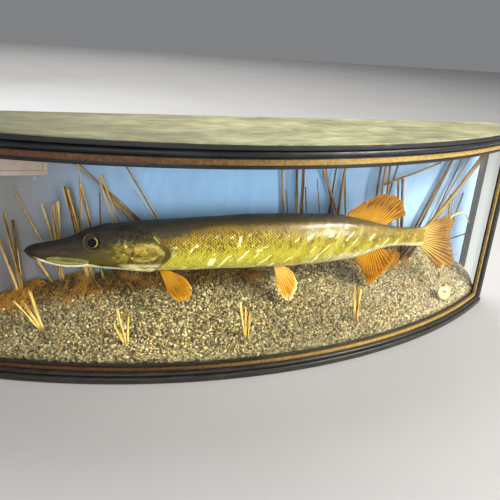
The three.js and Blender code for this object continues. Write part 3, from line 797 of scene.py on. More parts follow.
# A frame that follows the bow: a bowed wall with its middle taken out.
def bowFrame(name, spec):
    outer, inner, clear, spare = spec["outer"], spec["inner"], spec["clear"], 3 * mm
    frameWall = bowWall(name, outer, inner, spec["foot"], spec["head"], clear)
    hole = bowWall("hole", outer - spare, inner + spare, spec["footTop"], spec["headFoot"],
                   clear + spec["side"])
    modify(frameWall, "BOOLEAN", operation="DIFFERENCE", object=hole, solver="EXACT")
    bpy.data.objects.remove(hole)
    roundEdges(frameWall, spec["bevel"], segments=3, angle=40)
    return frameWall


post = dict(front=9 * mm, end=6 * mm, crest=1.0 * mm, groove=2.1 * mm, inner=8.5 * mm, steps=48)


def postCorner(inset, along):
    if along <= 0:
        return halfWidth - inset, cornerY(inset) - along
    return bowPoint(inset, cornerAngle(inset) - along / (bowRadius - inset))


# Two reeds on each face of the corner, extruded from the base moulding to the top one.
def postPiece(name, side):
    corners = []
    for i in range(-post["steps"], post["steps"] + 1):
        share = i / post["steps"]
        rise = abs(math.sin(2 * math.pi * share)) ** 0.7
        along = (post["end"] if i < 0 else post["front"]) * share
        corners.append(postCorner(blend(post["groove"], post["crest"], rise), along))
    corners += [postCorner(post["inner"], along) for along in (post["front"], 0, -post["end"])]
    column = facePiece(name, [(side * x, y, glassLow) for x, y in corners])
    pushOut(column, (0, 0, glassHigh - glassLow))
    return column


def addGlazing():
    front = bowWall("frontGlass", *trim["pane"], glassLow, glassHigh, 0)
    settle(front, glass, ["case_glass_front"])
    settle(bowFrame("giltSlip", trim["slip"]), gilt, ["case_slip_front"])
    settle(bowFrame("blackBead", trim["bead"]), ebony, ["case_bead_front"])
    for side, word in caseEnds:
        pane = boxPiece(f"endGlass{word.title()}", *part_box(f"case_glass_{word}"))
        settle(pane, glass, [f"case_glass_{word}"])
        settle(postPiece(f"cornerPost{word.title()}", side), ebony, [f"case_post_{word}"])


labelShape = dict(margin=4.4 * mm, line=0.45 * mm)


# A bare card with one thin ruled line inside its edge.
def addLabel():
    low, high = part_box("case_label")
    paper = boxPiece("labelCard", low, high, 0.12 * mm, 1)
    settle(paper, [card, ink], ["case_label"])
    middle = (low + high) / 2
    for width in (labelShape["margin"], labelShape["line"]):
        pickFaces(paper, lambda centre, normal: normal.y < -0.9 and (centre - middle).length < 4 * mm)
        bpy.ops.mesh.inset(thickness=width, depth=0)
        objectMode()
    ring = sorted((face for face in paper.data.polygons if face.normal.y < -0.9), key=lambda face: face.area)
    for face in ring[:4]:
        face.material_index = 1


# The fish's body, in millimetres until its points are set.

fish = dict(
    middleY=13.8,
    skinDepth=0.45,                    # how far the skin lies inside its solids, under the scales
    headColumns=196, bodyColumns=150,  # rings of the skin before and behind the gill
    sideRows=80,                       # rows from belly to back on one side
    headEnd=-78,
)
# x, top z, bottom z and half width at stations from the jaw's tip to the tail
bodyStations = np.array([
    (-206.9, 104.2, 103.2, 0.6), (-203, 107.3, 99, 5.8), (-195, 109.6, 94.2, 9.2), (-172, 113.4, 86.9, 12),
    (-150, 119.8, 85.5, 14.6), (-128, 125, 82.4, 17.4), (-100, 127, 78.8, 19.6), (-60, 128.2, 76.2, 20.2),
    (0, 129.5, 74.6, 20.5), (60, 128.7, 73.4, 19.8), (108, 125.6, 75.8, 17.6), (135, 120, 79.5, 14.6),
    (160, 113.4, 86.2, 10.8), (182, 109.4, 87.3, 7.6), (213, 107.6, 84.9, 2.6)])


# Top, bottom and half width at x, on smooth curves through the stations.
def stationValues(x):
    knots = bodyStations[:, 0]
    order = np.arange(len(knots))
    ahead, behind = np.minimum(order + 1, len(knots) - 1), np.maximum(order - 1, 0)
    slopes = (bodyStations[ahead] - bodyStations[behind]) / (knots[ahead] - knots[behind])[:, None]
    i = np.clip(np.searchsorted(knots, x) - 1, 0, len(knots) - 2)
    span = (knots[i + 1] - knots[i])[:, None]
    t = np.asarray(x - knots[i])[:, None] / span
    values = (bodyStations[i] * (1 + 2 * t) * (1 - t) ** 2 + bodyStations[i + 1] * t * t * (3 - 2 * t)
              + slopes[i] * span * t * (1 - t) ** 2 - slopes[i + 1] * span * t * t * (1 - t))
    return values[:, 1], values[:, 2], values[:, 3]


# One side's section at each x, evenly spaced by arc from the belly (share 0) to the back (share 1).
def bodyTable():
    xs = np.linspace(-206.9, 213, 841)
    shares = np.linspace(0, 1, 161)
    top, bottom, half = stationValues(xs)
    depth = np.minimum(fish["skinDepth"], np.minimum(half, (top - bottom) / 2) * 0.5)
    turn = np.linspace(-quarterTurn, quarterTurn, 401)
    power = (2 / blend(2.5, 2.15, smoothStep(-190, -60, xs)))[:, None]
    out = (half - depth)[:, None] * np.maximum(np.cos(turn), 0) ** power
    rise = ((top - bottom) / 2 - depth)[:, None]
    up = (top + bottom)[:, None] / 2 + np.sign(np.sin(turn)) * np.abs(np.sin(turn)) ** power * rise
    steps = np.hypot(np.diff(out, axis=1), np.diff(up, axis=1))
    length = np.concatenate([np.zeros((len(xs), 1)), np.cumsum(steps, axis=1)], axis=1)
    rows = [(np.interp(shares, n / n[-1], o), np.interp(shares, n / n[-1], u))
            for n, o, u in zip(length, out, up)]
    return xs, shares, np.array([r[0] for r in rows]), np.array([r[1] for r in rows]), length[:, -1]


tableXs, tableShares, tableOut, tableUp, tableArc = bodyTable()


def lookUp(table, x, share):
    column = np.clip((x - tableXs[0]) / (tableXs[1] - tableXs[0]), 0, len(tableXs) - 1.001)
    row = np.clip(share * (len(tableShares) - 1), 0, len(tableShares) - 1.001)
    i, j = column.astype(int), row.astype(int)
    s, t = column - i, row - j
    return ((table[i, j] * (1 - s) + table[i + 1, j] * s) * (1 - t)
            + (table[i, j + 1] * (1 - s) + table[i + 1, j + 1] * s) * t)


def basePoint(x, share):
    return np.stack([x, lookUp(tableOut, x, share), lookUp(tableUp, x, share)], axis=-1)


def baseNormal(x, share):
    alongX = basePoint(x + 1.0, share) - basePoint(x - 1.0, share)
    around = basePoint(x, np.minimum(share + 0.012, 1)) - basePoint(x, np.maximum(share - 0.012, 0))
    normal = np.cross(around, alongX)
    return normal / (np.linalg.norm(normal, axis=-1, keepdims=True) + 1e-9)


# How far round the body: -1 along the belly, 0 on the middle line, 1 along the back.
def girthAt(x, up):
    top, bottom = stationValues(x)[:2]
    return np.clip((up - (top + bottom) / 2) / ((top - bottom) / 2), -1, 1)


# The head's features, in side view: x and z.

mouthPath = [(-207, 106.6), (-204.5, 106.5), (-201.1, 102.8), (-197.3, 100.7), (-193.5, 98.9), (-189, 97.4),
             (-183.1, 94.7), (-179.1, 93.5), (-173.8, 92.3), (-168.3, 91.7), (-162.9, 91.4), (-157.5, 92.1),
             (-153, 93.6)]
leafTop = [(-191, 97.8), (-186.8, 100.2), (-180.2, 100.6), (-173.5, 99.8), (-168.1, 99), (-162.8, 98.3),
           (-157.4, 97.3), (-154, 96.4), (-151.2, 94.6)]
leafBottom = [(-191, 97.3), (-187, 96.3), (-183.1, 95.1), (-179.1, 93.9), (-173.8, 92.7), (-168.3, 92.1),
              (-162.9, 91.8), (-157.5, 92.5), (-153.3, 93.8), (-151.2, 94.5)]
platePath = [(-114.3, 109.7), (-104, 110.4), (-91.4, 107.7), (-89.3, 100.8), (-94.5, 96.9), (-104, 94.6),
             (-113, 94.9), (-114.3, 109.7)]
cheekPath = [(-110.5, 117), (-113.4, 114.7), (-114.7, 104.6), (-116.3, 95.1), (-119.5, 91.6), (-127, 89.6),
             (-138, 89.2)]
chinPath = [(-125, 90.4), (-115, 90.2), (-105, 90.6), (-95.7, 90), (-90, 88.5)]
crownPath = [(-158, 117.6), (-151, 119.2), (-144, 120.6), (-136, 121.6), (-130, 121.2)]
eyeSpec = dict(x=-149, side=9.3, z=111.8, radius=7.2, depth=4.6, tilt=14)
nostrils = [(-163.6, 111.6, 0.9), (-166.4, 111.0, 0.7)]
pores = [(-197.5, 98.6), (-191, 94.6), (-184, 91.4), (-175, 89.4), (-165, 88.3), (-154, 88.1), (-143, 87.6),
         (-130, 87), (-118.5, 99), (-117.4, 106), (-116, 112.5), (-157, 106.3), (-151, 104.2),
         (-144.5, 103.6)]


# The distance to a path.
def pathGap(path, x, up):
    best = np.full(x.shape, 1e9)
    for (x0, z0), (x1, z1) in zip(path[:-1], path[1:]):
        dx, dz = x1 - x0, z1 - z0
        t = np.clip(((x - x0) * dx + (up - z0) * dz) / (dx * dx + dz * dz), 0, 1)
        best = np.minimum(best, np.hypot(x - x0 - t * dx, up - z0 - t * dz))
    return best


def heightOn(path, x):
    return np.interp(x, [p[0] for p in path], [p[1] for p in path])


def insidePath(path, x, up):
    inside = np.zeros(x.shape, dtype=bool)
    for (x0, z0), (x1, z1) in zip(path[:-1], path[1:]):
        crosses = (z0 > up) != (z1 > up)
        at = x0 + (up - z0) * (x1 - x0) / (z1 - z0 if z1 != z0 else 1e-9)
        inside ^= crosses & (x < at)
    return inside


def gillEdge(up):
    return -98 + 19 * np.exp(-((up - 100) / 15) ** 2)


def eyeDistance(x, out, up):
    tilt = math.radians(eyeSpec["tilt"])
    axis = (0, math.cos(tilt), math.sin(tilt))
    place = np.stack([x - eyeSpec["x"], out - eyeSpec["side"], up - eyeSpec["z"]], axis=-1)
    reach = place @ np.array(axis)
    return np.sqrt(np.maximum((place ** 2).sum(-1) - reach ** 2, 0))


def leafMask(x, up):
    low, high = heightOn(leafBottom, x), heightOn(leafTop, x)
    inside = smoothStep(-0.2, 0.7, up - low) * smoothStep(-0.2, 0.7, high - up)
    return inside * smoothStep(-191, -188, x) * smoothStep(-151, -153, x)


# A rounded ridge along a line, and a rounded spot.
def hump(gap, width):
    return np.exp(-(gap / width) ** 2)


def softSpot(x, up, cx, cz, rx, rz):
    return hump(x - cx, rx) * hump(up - cz, rz)


# soft hollows and swellings: x, z, both radii and height
headSpots = [(-172, 108, 15, 3, -0.7), (-134, 106, 10, 7, -0.6), (-128, 98, 9, 6, 0.7)]
poreRadius = 0.65


# How far the skin stands out from the plain body, in millimetres.
def headRelief(x, out, up):
    sideways, onSide = smoothStep(0.8, 3.5, out), smoothStep(3, 7, out)
    mouth, ring = pathGap(mouthPath, x, up), eyeDistance(x, out, up)
    lift = -1.25 * hump(mouth, 0.75) * sideways
    lift += 0.95 * leafMask(x, up) * sideways
    lift -= 0.45 * hump(pathGap(leafTop, x, up), 0.6) * sideways
    lift += 0.4 * hump(mouth - 2.1, 1.1) * (up < heightOn(mouthPath, x)) * sideways
    lift += 1.5 * hump(pathGap(crownPath, x, up), 2.0) * smoothStep(3.0, 6.0, out)
    lift -= 2.6 * smoothStep(7.1, 5.4, ring) * onSide
    lift += 0.60 * hump(ring - 7.4, 0.7) * onSide
    lift -= 0.4 * hump(ring - 9.1, 0.9) * onSide * (up < 113)
    lift -= 1.3 * hump(out, 3.4) * smoothStep(-198, -190, x) * smoothStep(-150, -160, x) * (up > 104)
    for px, pz, size in nostrils:
        lift -= 0.9 * softSpot(x, up, px, pz, size, size) * smoothStep(2, 5, out)
    for px, pz, rx, rz, rise in headSpots + [(*pore, poreRadius, poreRadius, -0.45) for pore in pores]:
        lift += rise * softSpot(x, up, px, pz, rx, rz) * sideways
    folds = 0.35 * np.cos(out * 1.25) * smoothStep(87, 83, up)
    return lift + gillRelief(x, up) + folds * smoothStep(-192, -180, x) * smoothStep(-96, -104, x)


def gillRelief(x, up):
    behind, cheek, edge = x - gillEdge(up), pathGap(cheekPath, x, up), pathGap(platePath, x, up)
    fade = smoothStep(124, 117, up)
    lid = np.where(behind < 0, 1.6 * np.exp(np.minimum(behind, 0) / 22), 0)
    slot = np.where(behind < 0, 0, -0.9 * np.exp(-np.maximum(behind, 0) / 2.2))
    lift = blend(lid, slot, smoothStep(-0.5, 0.5, behind)) * fade
    lift -= 0.5 * hump(behind + 5.2, 0.8) * fade
    lift += 0.35 * hump(cheek - 2.6, 1.4) - 0.8 * hump(cheek, 0.9)
    fan = 0.14 * np.sin(34 * np.arctan2(up - 112, x + 117))
    lift += np.where(insidePath(platePath, x, up), 0.55 * smoothStep(0, 2.4, edge) + fan, 0)
    return lift - 0.25 * hump(edge, 0.7) - 0.45 * hump(pathGap(chinPath, x, up), 0.8)


def bodyRelief(x, up):
    wave = 0.22 * np.sin(x / 17 + 1.1) + 0.16 * np.sin(x / 7.3 + up / 9)
    return wave * smoothStep(-90, -60, x) * smoothStep(200, 170, x)


def skinPoint(x, share, side):
    point = basePoint(x, share)
    normal = baseNormal(x, share)
    near = smoothStep(-206.9, -202, x) * smoothStep(212, 205, x)
    lift = (headRelief(x, point[..., 1], point[..., 2]) * (x < -70) + bodyRelief(x, point[..., 2])) * near
    point = point + normal * lift[..., None]
    inner = np.where((share > 0) & (share < 1), 0.06, 0)
    y = fish["middleY"] - side * np.maximum(point[..., 1] * (inner > 0), inner)
    return np.stack([point[..., 0], y, point[..., 2]], axis=-1)


def skinColumns():
    head = np.linspace(0, 1, fish["headColumns"])
    head = bodyStations[0, 0] + (fish["headEnd"] - bodyStations[0, 0]) * head ** 1.12
    rest = np.linspace(fish["headEnd"], bodyStations[-1, 0], fish["bodyColumns"] + 1)[1:]
    return np.concatenate([[bodyStations[0, 0]], head, rest, [bodyStations[-1, 0]]])


def skinShape():
    columns = skinColumns()
    rows = 2 * fish["sideRows"]

    def place(u, v):
        index = np.rint(u * (len(columns) - 1)).astype(int)
        x = columns[index]
        step = np.rint(v * rows)
        left = step <= fish["sideRows"]
        share = np.where(left, step, rows - step) / fish["sideRows"]
        points = skinPoint(x, share, np.where(left, 1, -1))
        for end, at in ((0, 0), (len(columns) - 1, -1)):
            points[index == end] = (bodyStations[at, 0], fish["middleY"], bodyStations[at, 1:3].mean())
        return points * mm

    skin = gridPiece("fishSkin", len(columns) - 1, rows, place)
    sealMesh(skin)
    return skin


# Fins.

# Each fin's root runs from one [x, z] point to another, and its rays' angles and lengths are spread evenly
# along it. A fin on the belly has a place of its own and a splay away from upright.
fins = dict(
    dorsal=dict(root=((110.5, 124), (161, 112.5)), thick=2.6, rays=19,
                angles=(56, 54, 52, 51, 43, 25), lengths=(9, 26, 36, 39, 36, 27)),
    anal=dict(root=((126, 79), (160, 87)), thick=2.6, rays=17,
              angles=(-56, -67, -72, -68, -56, -37), lengths=(14, 33, 44, 39, 32, 25)),
    tail=dict(root=((208, 107), (208, 86.2)), thick=3.6, rays=19,
              angles=(24, 15, 7, -3, -10, -20, -30, -43), lengths=(34, 47, 43, 41, 45, 54, 62, 44),
              frays=([(244, 117.4), (250.3, 121.4), (256.6, 123.5), (262.5, 122.1), (267.6, 117.4),
                      (271.2, 111.2), (271.2, 107.4)],
                     [(247, 62), (246.3, 56), (245.9, 51), (245.2, 47), (244.8, 43)])),
    pectoral_left=dict(root=((-1.5, 3), (6, 1)), thick=2.2, rays=14, place=(-86.8, 5, 79.7), splay=24,
                       angles=(-73, -67, -59, -51, -40, -26), lengths=(25, 36, 40, 39, 34, 18)),
    pelvic_left=dict(root=((-3.5, 3), (6, 3)), thick=2.2, rays=11, place=(35.2, 8, 73.2), splay=22,
                     angles=(-84, -80, -74, -66, -52, -36), lengths=(22, 36, 41, 37, 28, 13)),
    pectoral_right=dict(root=((-1.5, 3), (6, 1)), thick=2.2, rays=14, place=(-86.8, 24, 82.5), splay=-38,
                        angles=(-30, -25, -19, -12, -6, 2), lengths=(24, 33, 36, 34, 30, 16)),
    pelvic_right=dict(root=((-3.5, 3), (6, 3)), thick=2.2, rays=11, place=(35.2, 20, 75.4), splay=-40,
                      angles=(-36, -31, -25, -18, -10, -2), lengths=(20, 32, 37, 34, 26, 13)),
)
finMesh = dict(columnsPerRay=6, rows=26, tip=0.5, ridge=0.28, rootDepth=-0.10, raySway=0.5,
               tornShare=0.16, tornNotch=0.16, notch=0.035)   # how deep the edge is cut between two rays


def spreadAt(values, t):
    knots = np.array(values, dtype=float)
    place = np.clip(t, 0, 1) * (len(knots) - 1)
    i = np.minimum(place.astype(int), len(knots) - 2)
    s = place - i
    before, after = knots[np.maximum(i - 1, 0)], knots[np.minimum(i + 2, len(knots) - 1)]
    a, b = knots[i], knots[i + 1]
    inner = 2 * before - 5 * a + 4 * b - after + s * (3 * (a - b) + after - before)
    return a + 0.5 * s * (b - before + s * inner)


def finPiece(name, spec, seed):
    rng = np.random.default_rng(seed)
    rays = spec["rays"]
    columns = rays * finMesh["columnsPerRay"]
    wear = rng.uniform(0.965, 1.0, rays + 1)
    torn = rng.random(rays) < finMesh["tornShare"]
    angleNoise = rng.normal(0, finMesh["raySway"], rays + 1)
    rows = finMesh["rows"]

    def place(u, v):
        ray = u * rays
        loop = v * 2
        face = np.where(loop < 1, 1.0, -1.0)
        share = np.where(loop < 1, loop, 2 - loop)
        between = (1 - np.cos(2 * math.pi * ray)) / 2
        near = np.rint(ray).astype(int)
        gapIndex = np.minimum(ray.astype(int), rays - 1)
        notch = between * np.where(torn[gapIndex], finMesh["tornNotch"], finMesh["notch"])
        length = spreadAt(spec["lengths"], u) * wear[near] * (1 - notch)
        angle = np.radians(spreadAt(spec["angles"], u) + np.interp(ray, np.arange(rays + 1), angleNoise))
        along = blend(finMesh["rootDepth"], 1, share)
        reach = np.maximum(along, -3 / length) * length
        (x0, z0), (x1, z1) = spec["root"]
        x = blend(x0, x1, u) + reach * np.cos(angle)
        z = blend(z0, z1, u) + reach * np.sin(angle)
        half = blend(spec["thick"], finMesh["tip"], np.clip(along, 0, 1) ** 0.55) / 2
        half = half + finMesh["ridge"] * (0.5 - between) * smoothStep(1.0, 0.85, along) * (1 - 0.5 * along)
        rim = np.minimum(u, 1 - u) * rays
        half = half * smoothStep(0, 0.45, rim) ** 0.5
        half = np.where((share > 0.999) | (share < 0.001) | (rim < 0.001), 0, half)
        sway = 0.7 * np.sin(along * 4 + u * 5 + seed) * along ** 2
        y = face * half + sway
        points = np.stack([x, y, z], axis=-1)
        return toFinPlace(points, spec) * mm

    fin = gridPiece(name, columns, rows * 2, place)
    flat = np.linspace(0, 1, columns + 1)
    share = 1 - np.abs(np.linspace(-1, 1, rows * 2 + 1))
    paintValues(fin, "ray", np.tile(flat * rays, rows * 2 + 1))
    paintValues(fin, "along", np.repeat(share, columns + 1))
    paintValues(fin, "finness", np.ones(len(fin.data.vertices)))
    sealMesh(fin, 0.000001)
    cover(fin, finSurfaces[name.split("_")[1]])
    for path in spec.get("frays", ()):
        addFray(fin, path)
    return fin


# A loose ray tip that curls away from the fin's edge.
def addFray(fin, path):
    knots = np.array(path)
    t = np.linspace(0, 1, 5 * len(path))
    at = np.linspace(0, 1, len(path))
    x, z = np.interp(t, at, knots[:, 0]), np.interp(t, at, knots[:, 1])
    x[1:-1] = (x[:-2] + x[1:-1] + x[2:]) / 3
    z[1:-1] = (z[:-2] + z[1:-1] + z[2:]) / 3
    tube = np.stack([x, np.full(len(t), fish["middleY"]), z, blend(1.0, 0.5, t)], axis=-1)
    fray = tubesPiece("fray", tube[None] * mm, 8)
    corners = len(fray.data.vertices)
    for name, value in (("ray", 0.0), ("along", 0.25), ("finness", 1.0)):
        paintValues(fray, name, np.full(corners, value))
    modify(fin, "BOOLEAN", operation="UNION", object=fray, solver="MANIFOLD", material_mode="TRANSFER")
    bpy.data.objects.remove(fray)


def toFinPlace(points, spec):
    if "place" not in spec:
        return points + (0, fish["middleY"], 0)
    turn = -math.radians(spec["splay"])
    y = points[..., 1] * math.cos(turn) - points[..., 2] * math.sin(turn)
    z = points[..., 1] * math.sin(turn) + points[..., 2] * math.cos(turn)
    return np.stack([points[..., 0], y, z], axis=-1) + spec["place"]


# Scales.

scaleSpec = dict(
    length=4.25, width=3.35, thickness=0.19,
    columnPitch=1.75, rowPitch=3.05,   # a quincunx: every second column is shifted by half a row
    lift=(-0.10, 0.36),                # how far front and rear edges stand off the skin
    curl=0.10, tiltNoise=0.10, sizeNoise=0.05,
    tailSize=0.72,                     # size of the smallest ones, at the tail
    patch=0.003,                       # size on the bake map
    perPiece=6500,
)


# One scale: a thin plate with a sloping edge, rounded behind and narrower in front.
def scaleTemplate():
    deselectAll()
    bpy.ops.mesh.primitive_cylinder_add(vertices=8, radius=0.5, depth=1, end_fill_type="NGON")
    piece = nameNew("scaleShape")
    pickFaces(piece, lambda centre, normal: normal.z > 0.5)
    bpy.ops.transform.resize(value=(0.72, 0.72, 1))
    objectMode()
    return takeTemplate()


# Where each scale is rooted: x, share of the girth, side, and whether its column is a dark one.
def scaleRoots():
    rng = np.random.default_rng(5)
    roots = []
    for i, x in enumerate(np.arange(-128, 209, scaleSpec["columnPitch"])):
        reach = np.interp(x, tableXs, tableArc)
        rows = math.ceil(reach / scaleSpec["rowPitch"])
        steps = np.arange(-rows, rows) + (0.5 if i % 2 else 0.0)
        shares = middleShare(x) + steps * scaleSpec["rowPitch"] / reach
        for share in shares[(shares >= 0) & (shares <= 1.0)]:
            roots += [(x, share, 1, i % 2), (x, share, -1, i % 2)]
    roots = np.array(roots)
    roots[:, 0] += rng.normal(0, 0.10, len(roots))
    x = roots[:, 0]
    point = basePoint(x, roots[:, 1])
    clear = x > gillEdge(point[:, 2]) + 1.2
    crown = (point[:, 2] > 117.5) & (x > -116 + 0.25 * point[:, 1] ** 1.5)
    ragged = x < 203 + 4 * np.cos(point[:, 2] * 0.9) + rng.normal(0, 1.2, len(roots))
    return roots[(clear | crown) & ragged]


def middleShare(x):
    place = np.full(len(tableShares), float(x))
    return float(np.interp(0, girthAt(place, lookUp(tableUp, place, tableShares)), tableShares))


def scalePieces(surface):
    template, faces = scaleTemplate()
    roots = scaleRoots()
    rng = np.random.default_rng(6)
    x, share, side, dark = roots.T
    near = skinPoint(x, share, side)
    step = 0.8 / np.interp(x, tableXs, tableArc)
    ahead = skinPoint(x + 0.8, share, side) - skinPoint(x - 0.8, share, side)
    around = skinPoint(x, np.minimum(share + step, 1), side) - skinPoint(x, np.maximum(share - step, 0), side)
    ahead /= np.linalg.norm(ahead, axis=1, keepdims=True)
    normal = np.cross(around, ahead) * side[:, None]
    normal /= np.linalg.norm(normal, axis=1, keepdims=True)
    across = np.cross(normal, ahead)
    size = rng.normal(1, scaleSpec["sizeNoise"], (len(roots), 1))
    size *= smoothStep(-30, 3, 208 - x)[:, None] ** 0.3
    size *= blend(1.0, scaleSpec["tailSize"], smoothStep(150, 205, x))[:, None]
    a, b, c = template.T
    tilt = rng.normal(0, scaleSpec["tiltNoise"], (len(roots), 1))
    along = a * scaleSpec["length"] * size
    wide = b * (1 - 0.28 * np.clip(-a * 2, 0, 1)) * scaleSpec["width"] * size
    height = blend(*scaleSpec["lift"], a + 0.5) + (c + 0.5) * scaleSpec["thickness"]
    height = height + tilt * (a + 0.5) - scaleSpec["curl"] * (2 * b) ** 2
    points = (near[:, None] + ahead[:, None] * along[..., None] + across[:, None] * wide[..., None]
              + normal[:, None] * height[..., None]) * mm
    rim = np.clip((a + 0.36) / 0.86, 0, 1)
    girth = girthAt(x, near[:, 2])
    seed = 0.35 * rng.random(len(roots)) + 0.65 * dark
    unwrap = np.stack([(x + 207) / 420, 0.5 + side * 0.5 * (1 - share)], axis=-1)
    for name, part in batches("fishScales", len(roots), scaleSpec["perPiece"]):
        piece = manyPiece(name, points[part], faces)
        paintValues(piece, "rim", np.tile(rim, len(points[part])))
        paintValues(piece, "girth", np.repeat(girth[part], len(a)))
        paintValues(piece, "seed", np.repeat(seed[part], len(a)))
        paintPatches(piece, unwrap[part], np.stack([a, b], axis=-1) * scaleSpec["patch"], faces)
        settle(piece, surface, smooth=12)


# The bake map: each copy's corners make a small patch at its root's place on the skin's unwrap.
def paintPatches(piece, roots, offsets, faces):
    layer = piece.data.uv_layers.new(name="OFBake")
    places = roots[:, None] + offsets[np.concatenate(faces)]
    layer.data.foreach_set("uv", places.astype(np.float32).ravel())


# Surfaces of the fish.

# Back, flanks and belly, with broken pale bars that lean back.
def fillMarkings(tree):
    place = objectPlace(tree)
    x, z = axisValue(place, "X"), axisValue(place, "Z")
    girth = plus(attribute(tree, "girth"), times(minus(noise(place, 45, 4), 0.5), 0.20))
    nape = times(spread(x, -0.085, -0.035, 0.30, 0.0), spread(girth, -0.3, 0.4))
    mottle = noise(place, 150, 5, 0.65)
    stripe = maths("SINE", times(plus(minus(x, times(z, 0.62)), times(mottle, 0.010)), 300.0))
    offMiddle = maths("ABSOLUTE", girth)
    rear = times(spread(x, 0.02, 0.09), spread(offMiddle, 0.95, 0.6))
    gold = noise(objectPlace(tree, location=(3, 1, 0)), 110, 4, 0.6)
    blots = spread(noise(objectPlace(tree, location=(5, 2, 1)), 85, 3, 0.6), 0.58, 0.66, 0, 0.6)
    lowBand = times(spread(girth, -0.92, -0.70), spread(girth, -0.20, -0.45))
    trunk = times(spread(x, -0.083, -0.070), spread(x, 0.190, 0.165))
    bars = times(maths("MAXIMUM", barMask(place, x, z, girth), times(blots, lowBand)), trunk)
    color = layers(
        ramp(spread(plus(girth, nape), -1, 1, 0, 1, "LINEAR"), {
            0.00: (0.88, 0.80, 0.46), 0.08: (0.76, 0.67, 0.20), 0.20: (0.60, 0.53, 0.060),
            0.42: (0.52, 0.445, 0.030), 0.60: (0.46, 0.355, 0.028), 0.76: (0.40, 0.265, 0.026),
            0.855: (0.25, 0.150, 0.022), 0.91: (0.066, 0.048, 0.022), 1.00: (0.036, 0.035, 0.031)}),
        (spread(mottle, 0.50, 0.70, 0, 0.50), (0.120, 0.075, 0.008)),
        (times(spread(stripe, -0.2, 0.8, 0, 0.60), rear), (0.30, 0.185, 0.022)),
        (times(spread(stripe, -0.2, -1.0, 0, 0.28), rear), (0.84, 0.76, 0.26)),
        (spread(x, 0.085, 0.200, 0.0, 0.78), (0.20, 0.130, 0.018)),
        (times(spread(gold, 0.50, 0.66, 0, 0.5), spread(offMiddle, 0.72, 0.40)), (0.66, 0.53, 0.030)),
        (times(bars, 0.85), (0.93, 0.90, 0.50)),
        (times(spread(girth, -0.35, -0.62, 0, 0.7), spread(x, 0.05, 0.12)), (0.86, 0.77, 0.46)))
    return {"Color": color, "Bars": bars, "Girth": girth}


# One set of leaning lines, each with a width and a place of its own, broken into dashes.
def dashes(place, x, z, pitch, slope, seed, share):
    wobble = times(minus(noise(place, 34, 4), 0.5), pitch * 0.9)
    count = maths("DIVIDE", plus(minus(x, times(z, slope)), wobble), pitch)
    index = maths("FLOOR", count)
    chance = addNode(place.id_data, "ShaderNodeTexWhiteNoise", {"W": plus(index, seed)},
                     noise_dimensions="1D").outputs["Value"]
    middle = maths("ABSOLUTE", minus(maths("FRACT", count), plus(0.3, times(chance, 0.4))))
    line = spread(minus(middle, plus(0.01, times(chance, 0.06))), 0.0, 0.09, 1, 0)
    broken = noise1(plus(times(z, 62), times(index, 5.37 + seed)), 1.0, 2.0)
    return times(line, spread(broken, share, share + 0.08))


def barMask(place, x, z, girth):
    steep = dashes(place, x, z, pitch=0.023, slope=0.45, seed=3.1, share=0.545)
    slanted = dashes(place, x, z, pitch=0.015, slope=0.95, seed=0.0, share=0.50)
    fade = times(spread(girth, 0.32, 0.60, 1, 0), spread(girth, -0.97, -0.85))
    return times(maths("MAXIMUM", steep, slanted), fade)


markingsGroup = makeGroup("pikeMarkings", {}, {"Color": colorOut, "Bars": valueOut, "Girth": valueOut},
                          fillMarkings)


def fillScales(tree):
    color, bars, girth = useGroup(tree, markingsGroup)
    rim, seed, place = attribute(tree, "rim"), attribute(tree, "seed"), objectPlace(tree)
    upper = times(spread(girth, -0.35, 0.15), spread(girth, 0.8, 0.5))
    # The scales' dark cores and gold rims are partly their own pattern, partly painted shade in the cores and
    # a painted highlight on the rims.
    darkCoreAndShade = times(spread(rim, 0.80, 0.55), spread(upper, 0, 1, 0.45, 0.80))
    goldRimAndHighlight = times(spread(rim, 0.80, 0.97), spread(upper, 0, 1, 0.25, 1.0))
    color = layers(
        color,
        (times(seed, spread(upper, 0, 1, 0.10, 0.26)), (0.085, 0.050, 0.006)),
        (times(darkCoreAndShade, spread(bars, 0, 1, 1, 0.2)), (0.045, 0.028, 0.004)),
        (times(goldRimAndHighlight, 0.68), (0.90, 0.68, 0.11)))
    wet = times(spread(axisValue(place, "X"), 0.03, 0.09), spread(girth, 0.10, 0.45))
    return {"Base Color": color, "Roughness": spread(noise(place, 300, 2), 0.3, 0.7, 0.45, 0.60),
            "Coat Weight": spread(wet, 0, 1, 0.12, 1.0), "Normal": bump(noise(place, 1400, 2), 0.15, 0.0002)}


